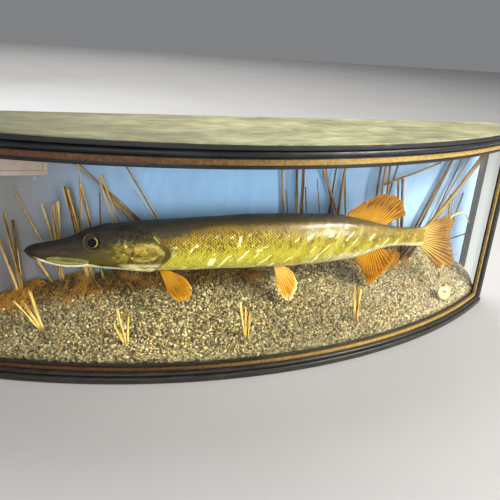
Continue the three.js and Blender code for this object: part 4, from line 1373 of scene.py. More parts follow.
def fillHead(tree):
    place = objectPlace(tree)
    ragged = times(minus(noise(place, 110, 5, 0.6), 0.5), 0.5)
    flakes = noise(objectPlace(tree, scale=(0.5, 1, 1)), 260, 5, 0.7)
    waves = noise(objectPlace(tree, scale=(0.7, 1, 1.2)), 150, 5, 0.6, 1.4)
    sheen = noise(objectPlace(tree, scale=(0.35, 1, 1.3)), 210, 5, 0.6, 0.8)
    streaks = noise(objectPlace(tree, scale=(0.25, 1, 1)), 420, 3, 0.6)
    folds = noise(objectPlace(tree, scale=(0.30, 1, 1.6), rotation=(0, 0.12, 0)), 330, 4, 0.6)
    gold = attribute(tree, "gold")
    plate = ramp(sheen, {0.38: (0.110, 0.056, 0.006), 0.48: (0.225, 0.140, 0.012),
                         0.60: (0.52, 0.365, 0.045)})
    plate = tint(attribute(tree, "plateDark"), plate, (0.13, 0.072, 0.008))
    leaf = tint(spread(noise(place, 130, 3), 0.35, 0.65), (0.070, 0.064, 0.011), (0.165, 0.165, 0.032))
    jaw = tint(spread(noise(place, 200, 4), 0.45, 0.7, 0, 0.5), (0.93, 0.87, 0.54), (0.55, 0.44, 0.16))
    worn = spread(noise(place, 95, 3), 0.42, 0.54, 0.15, 1.0)
    kept = tint(spread(axisValue(place, "X"), -0.138, -0.126), (1, 1, 1), worn)
    flecks = spread(noise(place, 130, 3), 0.38, 0.56, 0.25, 1.0)
    color = layers(
        ramp(plus(attribute(tree, "crown"), ragged), {
            0.0: (0.074, 0.055, 0.008), 0.28: (0.044, 0.031, 0.007), 0.48: (0.028, 0.018, 0.007),
            0.72: (0.020, 0.0145, 0.009), 1.0: (0.020, 0.019, 0.018)}),
        (spread(flakes, 0.50, 0.66, 0, 0.40), (0.115, 0.070, 0.018)),
        (times(times(gold, spread(waves, 0.48, 0.60)), 0.70), (0.37, 0.27, 0.028)),
        # bright gold flecks on the cheek, partly the skin's own colour, partly painted glints
        (times(times(gold, spread(noise(place, 270, 3), 0.57, 0.65)), 0.8), (0.88, 0.74, 0.22)),
        (attribute(tree, "plate"), plate),
        (spread(streaks, 0.50, 0.70, 0, 0.30), (0.075, 0.045, 0.016)),
        (attribute(tree, "rimBand"), (0.070, 0.048, 0.012)),
        (times(attribute(tree, "pale"), flecks), (0.66, 0.55, 0.14)),
        (attribute(tree, "leaf"), leaf),
        (attribute(tree, "leafLow"), (0.40, 0.34, 0.095)),
        # painted highlight along the leaf's upper edge
        (attribute(tree, "leafEdgeHighlight"), (0.36, 0.35, 0.17)),
        (times(attribute(tree, "jaw"), kept), jaw),
        (times(attribute(tree, "throat"), spread(folds, 0.42, 0.56, 0.30, 1.0)), (0.95, 0.86, 0.42)),
        # painted highlight on the lower left of the eye socket's rim
        (attribute(tree, "socket"), (0.34, 0.29, 0.19)),
        # painted shade in the mouth line, the gill slit and round the eye
        (attribute(tree, "groove"), (0.030, 0.011, 0.007)))
    color = tint(attribute(tree, "headness"), useGroup(tree, markingsGroup)["Color"], color)
    height = plus(times(cells(place, 520), 0.6), noise(place, 600, 3))
    return {"Base Color": color, "Roughness": spread(noise(place, 180, 3), 0.3, 0.7, 0.40, 0.60),
            "Normal": bump(height, 0.35, 0.0003)}


# Rays with a dark web between them; towards the root the web is paler.
def fillFin(tree, dark, warm, pale, tip):
    ray, along, place = attribute(tree, "ray"), attribute(tree, "along"), objectPlace(tree)
    comb = maths("ABSOLUTE", minus(maths("FRACT", ray), 0.5))
    rayMask = spread(comb, 0.16, 0.40)
    weave = addNode(tree, "ShaderNodeCombineXYZ", {0: times(ray, 1.7), 1: times(along, 2.2)}).outputs[0]
    shade = plus(times(noise(place, 120, 5, 0.65), 0.4), times(noise(weave, 1.0, 4.0, 0.6), 0.6))
    joints = maths("FRACT", times(along, 22))
    color = layers(
        tint(spread(shade, 0.44, 0.62), warm, dark),
        (times(spread(comb, 0.26, 0.08), spread(along, 0.1, 0.5, 0.5, 0.8)), dark),
        (times(rayMask, spread(along, 0.75, 0.2, 0.10, 0.85)), pale),
        (times(spread(joints, 0.75, 1.0, 0, 0.4), rayMask), dark),
        (spread(along, 0.86, 1.0, 0, 0.7), tip))
    return {"Base Color": color, "Normal": bump(plus(rayMask, times(noise(place, 700, 3), 0.5)), 0.4, 0.0003)}


# each fin's dark web, warm ground, pale rays and worn edge
finColors = dict(
    dorsal=((0.075, 0.025, 0.002), (0.40, 0.165, 0.009), (0.66, 0.35, 0.032), (0.24, 0.10, 0.01)),
    anal=((0.100, 0.030, 0.000), (0.33, 0.120, 0.000), (0.64, 0.30, 0.004), (0.43, 0.18, 0.002)),
    tail=((0.085, 0.031, 0.004), (0.31, 0.140, 0.013), (0.92, 0.64, 0.17), (0.22, 0.10, 0.015)),
    pectoral=((0.15, 0.048, 0.000), (0.37, 0.145, 0.000), (0.66, 0.36, 0.005), (0.55, 0.28, 0.005)),
    pelvic=((0.34, 0.13, 0.003), (0.66, 0.30, 0.014), (0.88, 0.62, 0.18), (0.90, 0.72, 0.33)),
)


finSurfaces = {
    name: makeMaterial(f"fin{name.title()}", lambda tree: fillFin(tree, *colors), Roughness=0.5,
                       Specular_IOR_Level=0.08)
    for name, colors in finColors.items()}
scaleSkin = makeMaterial("scales", fillScales, Coat_Roughness=0.14, Coat_IOR=1.8, Specular_IOR_Level=0.10)
headSkin = makeMaterial("varnishedSkin", fillHead, Coat_Weight=0.12, Coat_Roughness=0.08,
                        Specular_IOR_Level=0.06)


crownEdge = [(-207, 100), (-190, 100.5), (-170, 101.5), (-150, 104.5), (-135, 110.5), (-118, 114), (-95, 116)]
jawEdge = [(-153, 92.5), (-140, 88.3), (-125, 86.9), (-95, 84.8)]
lidLine = [(-94.5, 117.2), (-91.9, 114.2), (-89.8, 111.6)]


# Paints where each of the head's colours lies.
def paintSkin(skin):
    points = getPoints(skin) / mm
    x, up = points[:, 0], points[:, 2]
    out = np.abs(points[:, 1] - fish["middleY"])
    behind, edge = x - gillEdge(up), pathGap(platePath, x, up)
    ring, onSide = eyeDistance(x, out, up), smoothStep(3, 7, out)
    leaf = leafMask(x, up) * smoothStep(1.5, 4, out)
    low, high = heightOn(leafBottom, x), heightOn(leafTop, x)
    jawTop = np.where(x < -153, heightOn(mouthPath, x), heightOn(jawEdge, x))
    plate = insidePath(platePath, x, up)
    lines = hump(pathGap(chinPath, x, up), 1.1) + 0.8 * hump(edge - 0.6, 0.8) * smoothStep(-115, -108, x)
    lines += 0.8 * hump(behind + 7.5, 1.2) * smoothStep(112, 106, up) * smoothStep(82, 88, up)
    lines += 1.2 * hump(pathGap(lidLine, x, up), 0.7)
    # painted shade in the creases: the mouth line, the gill slit and round the eye
    shadedGrooves = hump(pathGap(mouthPath, x, up), 0.8) * smoothStep(-206, -200, x) * smoothStep(1, 4, out)
    shadedGrooves += hump(behind - 0.7, 0.9) * smoothStep(118, 112, up) * (x < -70)
    shadedGrooves += 0.9 * hump(ring - 6.4, 0.6) * onSide * (x < -130)
    values = dict(
        girth=girthAt(np.clip(x, bodyStations[0, 0], bodyStations[-1, 0]), up),
        headness=smoothStep(1.5, -0.5, behind),
        leaf=leaf,
        jaw=smoothStep(-0.4, 0.8, jawTop - up) * smoothStep(-199, -191, x) * (x < -88) * (1 - leaf),
        crown=smoothStep(-7, 8, up - heightOn(crownEdge, x)),
        plate=np.where(plate, smoothStep(0, 2, edge), 0) * 0.7,
        plateDark=softSpot(x, up, -96, 103, 6.5, 3.4) * plate * 0.85,
        leafLow=leaf * 0.85 * smoothStep(0.35, 0.85, (high - up) / np.maximum(high - low, 0.5)),
        # a painted highlight along the leaf's upper edge
        leafEdgeHighlight=0.35 * hump(pathGap(leafTop, x, up) - 0.6, 0.7) * leaf,
        rimBand=smoothStep(-6.3, -5.0, behind) * (behind < 1.5) * smoothStep(118, 110, up) * 0.75,
        pale=np.clip(lines, 0, 1) * (x > -128) * 0.65,
        gold=softSpot(x, up, -120, 103, 11, 9) + 0.8 * softSpot(x, up, -100, 103, 14, 9),
        throat=smoothStep(-128, -118, x) * smoothStep(93, 85, up) * smoothStep(0.5, -4, behind),
        # a painted highlight on the lower left of the eye socket's rim
        socket=0.34 * hump(ring - 7.4, 0.5) * onSide * smoothStep(-146, -152, x + 0.5 * (up - eyeSpec["z"])),
        groove=np.clip(shadedGrooves, 0, 1),
    )
    for name, value in values.items():
        paintValues(skin, name, value)


def addFish():
    skin = skinShape()
    cover(skin, headSkin)
    made = [finPiece(f"fin_{name}", spec, 20 + k) for k, (name, spec) in enumerate(fins.items())]
    together = joinPieces("finsTogether", made)
    modify(skin, "BOOLEAN", operation="UNION", object=together, solver="MANIFOLD", material_mode="TRANSFER")
    bpy.data.objects.remove(together)
    paintSkin(skin)
    flesh = [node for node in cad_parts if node.startswith("fish_") and "eye" not in node
             and "support" not in node]
    settle(skin, None, flesh, 50)
    scalePieces(scaleSkin)


# Eyes.

eyeParts = dict(rings=28, segments=48, irisDepth=0.66, irisReach=0.93)


def fillIris(tree):
    radius = attribute(tree, "radius")
    rays = noise1(attribute(tree, "turn"), 9.0, 4.0)
    ringGap = maths("ABSOLUTE", minus(radius, 0.675))
    # painted highlight: the gold ring is brighter on its right side, towards the light
    front = spread(axisValue(objectPlace(tree), "X"), -0.1478, -0.1450)
    color = ramp(radius, {
        0.0: (0.002, 0.002, 0.002), 0.62: (0.002, 0.002, 0.002), 0.655: (0.170, 0.125, 0.038),
        0.70: (0.050, 0.033, 0.010), 0.76: (0.024, 0.017, 0.009), 0.90: (0.018, 0.013, 0.008),
        0.95: (0.060, 0.047, 0.022), 1.0: (0.012, 0.009, 0.006)})
    return {"Base Color": layers(
        color, (times(spread(ringGap, 0.08, 0.02), front), (0.85, 0.66, 0.15)),
        (times(spread(rays, 0.45, 0.65, 0, 0.5), spread(radius, 0.68, 0.76)), (0.13, 0.09, 0.03)))}


def addEyes():
    surfaces = {"Iris": makeMaterial("eyeIris", fillIris, Roughness=0.6, Specular_IOR_Level=0.05),
                "Lens": makeGlass("eyeLens", (1, 1, 1), 0.0)}
    tilt = math.radians(eyeSpec["tilt"])
    for side, word in ((1, "left"), (-1, "right")):
        outward = Vector((0, -side * math.cos(tilt), math.sin(tilt)))
        turn = outward.to_track_quat("Z", "Y").to_matrix().to_4x4()
        centre = Vector((eyeSpec["x"], fish["middleY"] - side * eyeSpec["side"], eyeSpec["z"])) * mm
        for part, surface in surfaces.items():
            reach, deep = (eyeParts["irisReach"], eyeParts["irisDepth"]) if part == "Iris" else (1.0, 1.0)
            deselectAll()
            bpy.ops.mesh.primitive_uv_sphere_add(segments=eyeParts["segments"], ring_count=eyeParts["rings"],
                                                 radius=1)
            ball = nameNew(f"eye{part}{word.title()}")
            points = getPoints(ball)
            wide = eyeSpec["radius"] * reach * mm
            setPoints(ball, points * (wide, wide, eyeSpec["depth"] * deep * mm))
            ball.data.transform(Matrix.Translation(centre) @ turn)
            paintValues(ball, "radius", np.hypot(points[:, 0], points[:, 1]))
            paintValues(ball, "turn", np.abs(np.arctan2(points[:, 1], points[:, 0])))
            settle(ball, surface, [f"fish_eye_{word}"] if part == "Lens" else ())


# Groundwork.

bed = dict(inset=11.6, front=19.5, back=44, mound=1.6, boardY=59.5, halfLength=313.4, foot=6.5,
           columns=210, rows=46,
           bankFrom=0.45)   # how far back the heap along the board begins
# height of the gravel along the back board: x, z
bedCrest = [(-314, 37), (-232, 38), (-214, 44), (-190, 47), (-161, 53), (-125, 55), (-60, 54), (20, 55),
            (110, 57), (180, 62), (212, 66.5), (240, 67.5), (262, 58), (282, 50), (304, 43), (314, 38)]


def glassLine(x):
    return bowY(bed["inset"] * mm, x * mm) / mm


def bedHeight(x, y):
    near = glassLine(np.clip(x, -bed["halfLength"], bed["halfLength"]))
    t = np.clip((y - near) / (bed["boardY"] - near), 0, 1)
    heap = (heightOn(bedCrest, x) - bed["back"]) * smoothStep(bed["bankFrom"], 1, t)
    mound = bed["mound"] * np.sin(x / 38) * np.sin(math.pi * t)
    return blend(bed["front"], bed["back"], t ** 0.9) + mound + heap


def addBed():
    columns, rows = bed["columns"], bed["rows"]

    def place(u, v):
        column, row = np.rint(u * columns), np.rint(v * rows)
        x = blend(-bed["halfLength"], bed["halfLength"], np.clip((u * columns - 1) / (columns - 2), 0, 1))
        near = glassLine(x)
        y = blend(near, bed["boardY"], np.clip((row - 2) / (rows - 4), 0, 1))
        z = bedHeight(x, y) + 0.5 * np.sin(x * 0.9 + y * 1.3) * np.sin(y * 0.8 - x * 0.5) - 0.6
        sides = (column == 0) | (column == columns)
        z = np.where(sides | (row <= 1) | (row >= rows - 1), bed["foot"], z)
        y = np.where(sides | (row == 0) | (row == rows), blend(near, bed["boardY"], 0.5), y)
        return np.stack([x, y, z], axis=-1) * mm

    ground = gridPiece("gravelBed", columns, rows, place)
    sealMesh(ground)
    settle(ground, makeMaterial("gritBed", fillGrit, Roughness=0.95), ["ground_gravel_bed"])


def fillGrit(tree):
    place = objectPlace(tree)
    value = addNode(tree, "ShaderNodeSeparateColor", {"Color": cells(place, 420, "Color")}).outputs[0]
    color = ramp(value, {0.0: (0.055, 0.043, 0.018), 0.5: (0.18, 0.142, 0.062), 1.0: (0.42, 0.350, 0.17)})
    return {"Base Color": color, "Normal": bump(cells(place, 420), 0.8, 0.001)}


def fillGrains(tree):
    place = objectPlace(tree)
    speck = noise(place, 900, 3, 0.7)
    color = layers(
        ramp(attribute(tree, "tone"), {
            0.00: (0.042, 0.033, 0.015), 0.12: (0.115, 0.088, 0.040), 0.28: (0.265, 0.205, 0.092),
            0.46: (0.44, 0.345, 0.150), 0.63: (0.59, 0.465, 0.200), 0.77: (0.76, 0.60, 0.255),
            0.88: (0.88, 0.74, 0.35), 0.955: (0.95, 0.87, 0.58), 1.0: (0.62, 0.31, 0.08)}),
        (times(spread(noise(place, 13, 3), 0.40, 0.62), 0.45), (0.205, 0.165, 0.095)),
        (spread(speck, 0.50, 0.70, 0, 0.35), (0.17, 0.138, 0.06)),
        # painted light: the grains turn paler towards the right, where the light falls
        (spread(axisValue(place, "X"), 0.04, 0.26, 0, 0.38), (0.82, 0.68, 0.45)))
    return {"Base Color": color, "Normal": bump(speck, 0.5, 0.0004)}


grains = dict(pitch=1.78, scatter=1.1, small=0.98, spreadOf=0.36, limits=(0.6, 2.1), perPiece=9500,
              cobbles=55, alongGlass=1300)


def addGravel():
    deselectAll()
    bpy.ops.mesh.primitive_ico_sphere_add(subdivisions=1, radius=1)
    template, faces = takeTemplate()
    rng = np.random.default_rng(31)
    xs, ys = np.meshgrid(np.arange(-311, 311, grains["pitch"]), np.arange(-60, 57, grains["pitch"]))
    x = xs.ravel() + rng.uniform(-grains["scatter"], grains["scatter"], xs.size)
    y = ys.ravel() + rng.uniform(-grains["scatter"], grains["scatter"], ys.size)
    size = np.clip(grains["small"] * rng.lognormal(0, grains["spreadOf"], len(x)), *grains["limits"])
    cobble = rng.choice(len(x), grains["cobbles"], replace=False)
    size[cobble] = rng.uniform(2.0, 3.0, len(cobble))
    gap = size + 0.1
    keep = (y > glassLine(x) + gap) & (y < bed["boardY"] - gap) & (np.abs(x) < bed["halfLength"] - size)
    x, y, size = x[keep], y[keep], size[keep]
    z = bedHeight(x, y) + size * rng.uniform(-0.15, 0.45, len(x))
    # a row that leans on the glass
    nearX = rng.uniform(-309, 309, grains["alongGlass"])
    nearSize = rng.uniform(0.8, 1.5, len(nearX))
    x = np.append(x, nearX)
    y = np.append(y, glassLine(nearX) + 0.95 * nearSize)
    size = np.append(size, nearSize)
    z = np.append(z, rng.uniform(12.5, 19.5, len(nearX)))
    count = len(x)
    turn = randomTurns(rng, count)
    shape = template[None] * (1 + rng.normal(0, 0.13, (count, len(template), 1)))
    shape = shape * rng.uniform(0.62, 1.1, (count, 1, 3))
    points = np.einsum("nij,nkj->nki", turn, shape) * size[:, None, None]
    points = (points + np.stack([x, y, z], axis=-1)[:, None]) * mm
    tone = np.clip(rng.beta(1.5, 1.7, count) + 0.10 * (size > 2.2), 0, 1)
    tone[rng.random(count) < 0.005] = 1.0   # a few rusty ones
    surface = makeMaterial("gravelGrains", fillGrains, Roughness=0.8)
    for name, part in batches("gravelGrains", count, grains["perPiece"]):
        piece = manyPiece(name, points[part], faces)
        paintValues(piece, "tone", np.repeat(tone[part], len(template)))
        settle(piece, surface, smooth=15)


def randomTurns(rng, count):
    axis = rng.normal(0, 1, (count, 4))
    axis /= np.linalg.norm(axis, axis=1, keepdims=True)
    w, x, y, z = axis.T
    return np.stack([
        np.stack([1 - 2 * (y * y + z * z), 2 * (x * y - z * w), 2 * (x * z + y * w)], -1),
        np.stack([2 * (x * y + z * w), 1 - 2 * (x * x + z * z), 2 * (y * z - x * w)], -1),
        np.stack([2 * (x * z - y * w), 2 * (y * z + x * w), 1 - 2 * (x * x + y * y)], -1)], axis=1)


# Moss, roots and litter along the back.

bankTop = [(-311, 40), (-232, 41.5), (-222, 43.5), (-214, 49.5), (-208, 50), (-197, 55), (-187, 50),
           (-182, 50), (-171, 55.6), (-161, 58.3), (-140, 56), (-129, 58.4), (-118, 59), (-90, 58),
           (-60, 57), (-20, 57), (20, 57), (40, 57)]


def bankHeight(x, y):
    t = smoothStep(31, 54, y + 3 * np.sin(x / 9))
    rise = np.maximum(heightOn(bankTop, x) - heightOn(bedCrest, x), 0.8)
    lumps = 1.3 * np.sin(x / 5.1 + y / 4) + 0.9 * np.sin(x / 2.7 - y / 2.1) + 0.8 * np.sin(y / 1.7 + x / 8)
    fade = smoothStep(58.5, 52, y)
    return bedHeight(x, y) + (rise + (1.2 + 0.7 * lumps) * fade) * t - 1.2 * (1 - t)


def fillMoss(tree):
    fine = noise(objectPlace(tree), 260, 6, 0.7)
    color = ramp(fine, {0.30: (0.012, 0.007, 0.003), 0.48: (0.062, 0.032, 0.008),
                        0.62: (0.19, 0.098, 0.020), 0.78: (0.40, 0.235, 0.055)})
    color = tint(times(patches(tree, 26.0, 0.56), 0.6), color, (0.40, 0.185, 0.020))
    return {"Base Color": color, "Normal": bump(fine, 1.0, 0.003)}


def fillRoot(tree):
    place = objectPlace(tree)
    speck = noise(place, 700, 3)
    west = spread(axisValue(place, "X"), -0.12, -0.20, 0, 0.10)
    bright = spread(plus(noise(place, 17, 2), west), 0.53, 0.61, 0, 0.85)
    color = layers(
        ramp(attribute(tree, "tone"), {
            0.0: (0.020, 0.011, 0.005), 0.28: (0.125, 0.062, 0.014), 0.52: (0.30, 0.160, 0.030),
            0.78: (0.52, 0.30, 0.060), 1.0: (0.78, 0.56, 0.20)}),
        (bright, (0.60, 0.285, 0.030)), (spread(speck, 0.45, 0.7, 0, 0.4), (0.03, 0.02, 0.010)))
    return {"Base Color": color, "Normal": bump(speck, 0.5, 0.0003)}


moss = dict(columns=200, rows=34, ends=(-311, 30), depth=(25, 58.3), thickness=1.2, sunk=3)


def addMoss():
    columns, rows = moss["columns"], moss["rows"]

    def place(u, v):
        row = np.rint(v * rows)
        x, y = blend(*moss["ends"], u), blend(*moss["depth"], np.clip((row - 1) / (rows - 2), 0, 1))
        edge = (row == 0) | (row == rows) | (u < 0.001) | (u > 0.999)
        z = np.where(edge, bedHeight(x, y) - moss["sunk"], bankHeight(x, y))
        return np.stack([x, y, z], axis=-1) * mm

    bank = gridPiece("mossBank", columns, rows, place)
    modify(bank, "SOLIDIFY", thickness=moss["thickness"] * mm, offset=-1)
    settle(bank, makeMaterial("driedMoss", fillMoss, Roughness=0.95), ["ground_moss_bank"], 60)
    rootTangle()


rootSpec = dict(onBank=2480, onGravel=130, steps=10, stride=2.2, thin=0.19, thicker=0.24)


def rootTangle():
    rng = np.random.default_rng(41)
    bankCount, looseCount = rootSpec["onBank"], rootSpec["onGravel"]
    count = bankCount + looseCount
    x = np.concatenate([rng.uniform(-309, 26, bankCount), rng.uniform(-305, 300, looseCount)])
    y = np.concatenate([rng.uniform(37, 57, bankCount), rng.uniform(-20, 52, looseCount)])
    heading = rng.uniform(0, 2 * math.pi, count)
    bend = rng.normal(0, 0.30, count)
    lift = np.concatenate([rng.uniform(0.4, 3.6, bankCount), rng.uniform(0.2, 1.0, looseCount)])
    stride = rootSpec["stride"] * rng.uniform(0.5, 1.2, count)
    steps = rootSpec["steps"]
    paths = np.zeros((count, steps, 4))
    for k in range(steps):
        near = bowY(16 * mm, x * mm) / mm
        paths[:, k, 0] = x
        paths[:, k, 1] = np.clip(y, near, 57.5)
        taper = math.sin(math.pi * (0.12 + 0.76 * k / (steps - 1)))
        paths[:, k, 3] = (rootSpec["thin"] + rootSpec["thicker"] * rng.random(count)) * taper
        heading += bend + rng.normal(0, 0.38, count)
        x = np.clip(x + stride * np.cos(heading), -309, 309)
        y = y + stride * np.sin(heading)
    arch = np.sin(math.pi * np.linspace(0.05, 0.95, steps))
    onBank = (np.arange(count) < bankCount)[:, None]
    px, py = paths[..., 0], paths[..., 1]
    ground = np.where(onBank & (px < 28) & (py > 27), bankHeight(px, py), bedHeight(px, py) + 0.6)
    paths[..., 2] = ground + arch * lift[:, None] + rng.normal(0, 0.3, (count, steps))
    piece = tubesPiece("rootTangle", paths * mm, 4)
    tone = np.clip(rng.beta(1.6, 2.2, count), 0, 1)
    paintValues(piece, "tone", np.repeat(tone, steps * 4))
    settle(piece, makeMaterial("driedRoot", fillRoot, Roughness=0.9), smooth=60)


litter = dict(leaves=80, centre=(199, 47), reach=(15, 7), length=(5, 11), width=(2.2, 4.5), raised=1.8,
              thickness=0.3)


def addLitter():
    deselectAll()
    bpy.ops.mesh.primitive_grid_add(x_subdivisions=4, y_subdivisions=3, size=1)
    template, faces = takeTemplate()
    rng = np.random.default_rng(51)
    count = litter["leaves"]
    x = rng.normal(litter["centre"][0], litter["reach"][0] * 0.6, count)
    y = np.clip(rng.normal(litter["centre"][1], litter["reach"][1] * 0.6, count), 8, 55)
    a, b = template[:, 0], template[:, 1]
    lengths, widths = [rng.uniform(*litter[size], (count, 1)) for size in ("length", "width")]
    leafX = a * lengths
    leafY = b * widths * (1 - 1.6 * a ** 2)
    leafZ = rng.uniform(0.4, 2.0, (count, 1)) * (4 * b ** 2) + rng.uniform(-1.5, 1.5, (count, 1)) * a * b * 2
    turn = rng.uniform(0, 2 * math.pi, (count, 1))
    tip = rng.normal(0, 0.22, (count, 1))
    px = x[:, None] + leafX * np.cos(turn) - leafY * np.sin(turn)
    py = np.clip(y[:, None] + leafX * np.sin(turn) + leafY * np.cos(turn), -50, 57)
    pz = bedHeight(px, py) + litter["raised"] + leafZ + leafX * tip + rng.uniform(0, 2.2, (count, 1))
    piece = manyPiece("leafLitter", np.stack([px, py, pz], axis=-1) * mm, faces)
    paintValues(piece, "tone", np.repeat(np.clip(rng.normal(0.56, 0.16, count), 0, 1), len(template)))
    modify(piece, "SOLIDIFY", thickness=litter["thickness"] * mm, offset=0)
    settle(piece, bpy.data.materials["driedRoot"], smooth=60)


# Reeds, straw and twigs.

reedRows = dict(back=56, middle=50.5, front=45)
# each clump: its row, its stems as foot x, lean in degrees, length and radius, then the thin ones
reedClumps = [
    ("middle", [(-211, -8, 82, 1.8), (-210, -4, 74, 2.0), (-215, -14, 61, 1.7)], []),
    ("back", [(-172, -24, 100, 1.1), (-171, -13, 82, 1.4), (-173, -5, 79, 1.6), (-175, 0, 82, 1.9)],
     [(-182, -31, 30, 1.8)]),
    ("middle", [(-149, -12, 97, 2.0), (-144, -13, 95, 1.7), (-134, -12, 99, 2.0), (-97, -20, 112, 1.3)],
     [(-158, 1, 133, 0.7), (-137, 0, 88, 0.9), (-104, -18, 109, 1.0), (-146.5, -12.5, 94, 1.8)]),
    ("back", [(-39, -46, 190, 1.6), (-58, -40, 117, 1.3)],
     [(-59, -38.9, 120, 1.4), (-43.6, -44.1, 125, 1.3)]),
    ("middle", [(-46, -30, 155, 1.2)], [(-43, -34, 111, 0.6)]),
    ("back", [(67, -8, 131, 1.5)], [(71, -9, 84, 0.8)]),
    ("middle", [(78, -6, 132, 2.0), (81, -4, 132, 2.3), (91, -8, 89, 1.1)], [(110, -11, 98, 0.8)]),
    ("back", [(149, -26, 142, 1.7), (111, 2, 128, 1.2), (123, 2, 128, 1.9), (144, -10, 130, 1.4)],
     [(135, -17, 134, 1.2)]),
    ("middle", [(166, 1, 127, 1.7), (177, -2, 127, 1.7), (183, -2, 127, 1.5), (215, -10, 95, 2.3)],
     [(175, 8, 128, 1.2), (211, -11, 91, 1.6)]),
    ("back", [(226, 21, 129, 1.5), (220, 23, 130, 1.3)], [(240, 20, 128, 0.9)]),
    ("front", [(209, 37, 162, 2.6), (218, 33, 155, 2.2)], [(223, 26, 143, 1.0)]),
    ("middle", [(267, 14, 86, 1.2), (281, -9, 83, 1.2)], [(285, -8, 76, 1.1)]),
]
reedTwigs = {8: ((174, 147), (246.8, 172.5), 1.5), 11: ((268.5, 72.5), (304, 83), 1.0)}
strawTufts = [
    (2.7, [(-196.7, -38.4, 34.5, 1.2), (-195.7, -29.8, 31, 1.3), (-194.7, -14, 36, 1.3)]),
    (-30, [(-124.9, -27.5, 21, 1.1), (-123.9, -13, 33, 1.3), (-122.9, 1.9, 26, 1.2)]),
    (-41.6, [(-13, -12.4, 36.5, 1.2), (-12, -6, 30, 1.1), (-11, 3.3, 25.2, 1.3)]),
    (-33.2, [(110.3, -9, 36, 1.1), (111.3, -4, 36, 1.2), (112.3, -1.5, 34, 1.2)]),
]
stemSpec = dict(steps=22, sides=8, strawSides=10, nodeSwell=0.22, sunk=4,
                clumpLift=2.1, reedLift=1.87, strawLift=1.43)   # where a stem is measured from, above the bed


# The points of one stem: a slight bow, a swelling at each joint and a thinner tip.
def stemPath(rng, foot, tip, radius, taper):
    t = np.linspace(0, 1, stemSpec["steps"])
    line = foot[None] + (tip - foot)[None] * t[:, None]
    length = np.linalg.norm(tip - foot)
    sag = rng.normal(0, 0.006, 2) * length
    line[:, 0] += sag[0] * np.sin(math.pi * t)
    line[:, 1] += np.clip(sag[1], -0.6, 0.6) * np.sin(math.pi * t)
    joints = (t * length / rng.uniform(26, 38) + rng.random()) % 1
    swell = 1 + stemSpec["nodeSwell"] * np.exp(-((joints - 0.5) / 0.07) ** 2)
    return np.concatenate([line, (radius * blend(1, taper, t) * swell)[:, None]], axis=1)


# Both ends of a leaning stem, with its foot sunk in the gravel.
def stemEnds(x, y, lean, length, z):
    turn = math.radians(lean)
    tip = np.array([x + length * math.sin(turn), y, z + length * math.cos(turn)])
    return np.array([x, y, z - stemSpec["sunk"]]), tip


# The height of the gravel under the middle of a clump.
def groundUnder(stems, y):
    feet = [stem[0] for stem in stems]
    return float(bedHeight(np.array((min(feet) + max(feet)) / 2), np.array(float(y)))) + stemSpec["clumpLift"]


reedColors = dict(dark=(0.11, 0.058, 0.016), warm=(0.36, 0.205, 0.050), pale=(0.76, 0.49, 0.14), greying=0.75)
strawColors = dict(dark=(0.32, 0.155, 0.014), warm=(0.66, 0.38, 0.065), pale=(0.90, 0.64, 0.19))


def fillReed(tree, dark, warm, pale, greying=0.0):
    along, around, tone = [attribute(tree, name) for name in ("along", "around", "tone")]
    fibres = noise(objectPlace(tree, scale=(1, 1, 0.09)), 900, 4, 0.65)
    weave = addNode(tree, "ShaderNodeCombineXYZ", {
        0: times(around, 2.8), 1: times(along, 1.6), 2: times(tone, 40)}).outputs[0]
    # streaky tone round and along each reed, partly its own colour, partly painted highlight streaks
    light = plus(noise(weave, 1.0, 3, 0.6), times(minus(fibres, 0.5), 0.3))
    light = plus(light, times(minus(tone, 0.5), 0.12))
    color = ramp(light, {0.34: (0.05, 0.026, 0.009), 0.43: dark, 0.50: warm, 0.60: pale})
    weathered = spread(axisValue(objectPlace(tree), "X"), -0.03, 0.10, 0, greying)
    color = tint(weathered, color, (0.42, 0.38, 0.42), "MULTIPLY")
    color = tint(spread(along, 0.0, 0.18, 0.6, 0), color, (0.05, 0.033, 0.018))
    return {"Base Color": color, "Normal": bump(fibres, 0.5, 0.0004)}


def addReeds():
    rng = np.random.default_rng(61)
    surface = makeMaterial("driedReed", lambda tree: fillReed(tree, **reedColors), Roughness=0.62,
                           Specular_IOR_Level=0.3)
    for i, (row, stems, thin) in enumerate(reedClumps):
        y = reedRows[row]
        ground = groundUnder(stems, y)
        paths = []
        for x, lean, length, radius in stems + thin:
            foot, tip = stemEnds(x, y, lean, length, ground + stemSpec["reedLift"])
            tip[1] = foot[1] = y + rng.uniform(-1.2, 0.6 if row == "back" else 1.2)
            paths.append(stemPath(rng, foot, tip, radius, 0.7))
        if i in reedTwigs:
            (x0, z0), (x1, z1), radius = reedTwigs[i]
            paths.append(stemPath(rng, np.array([x0, y, z0]), np.array([x1, y, z1]), radius, 0.9))
        piece = tubesPiece(f"reedClump{i + 1}", np.array(paths) * mm, stemSpec["sides"], True, 0.8)
        paintValues(piece, "tone", np.repeat(rng.random(len(paths)), stemSpec["steps"] * stemSpec["sides"]))
        settle(piece, surface, [f"ground_reed_clump_{i + 1}"], 40)


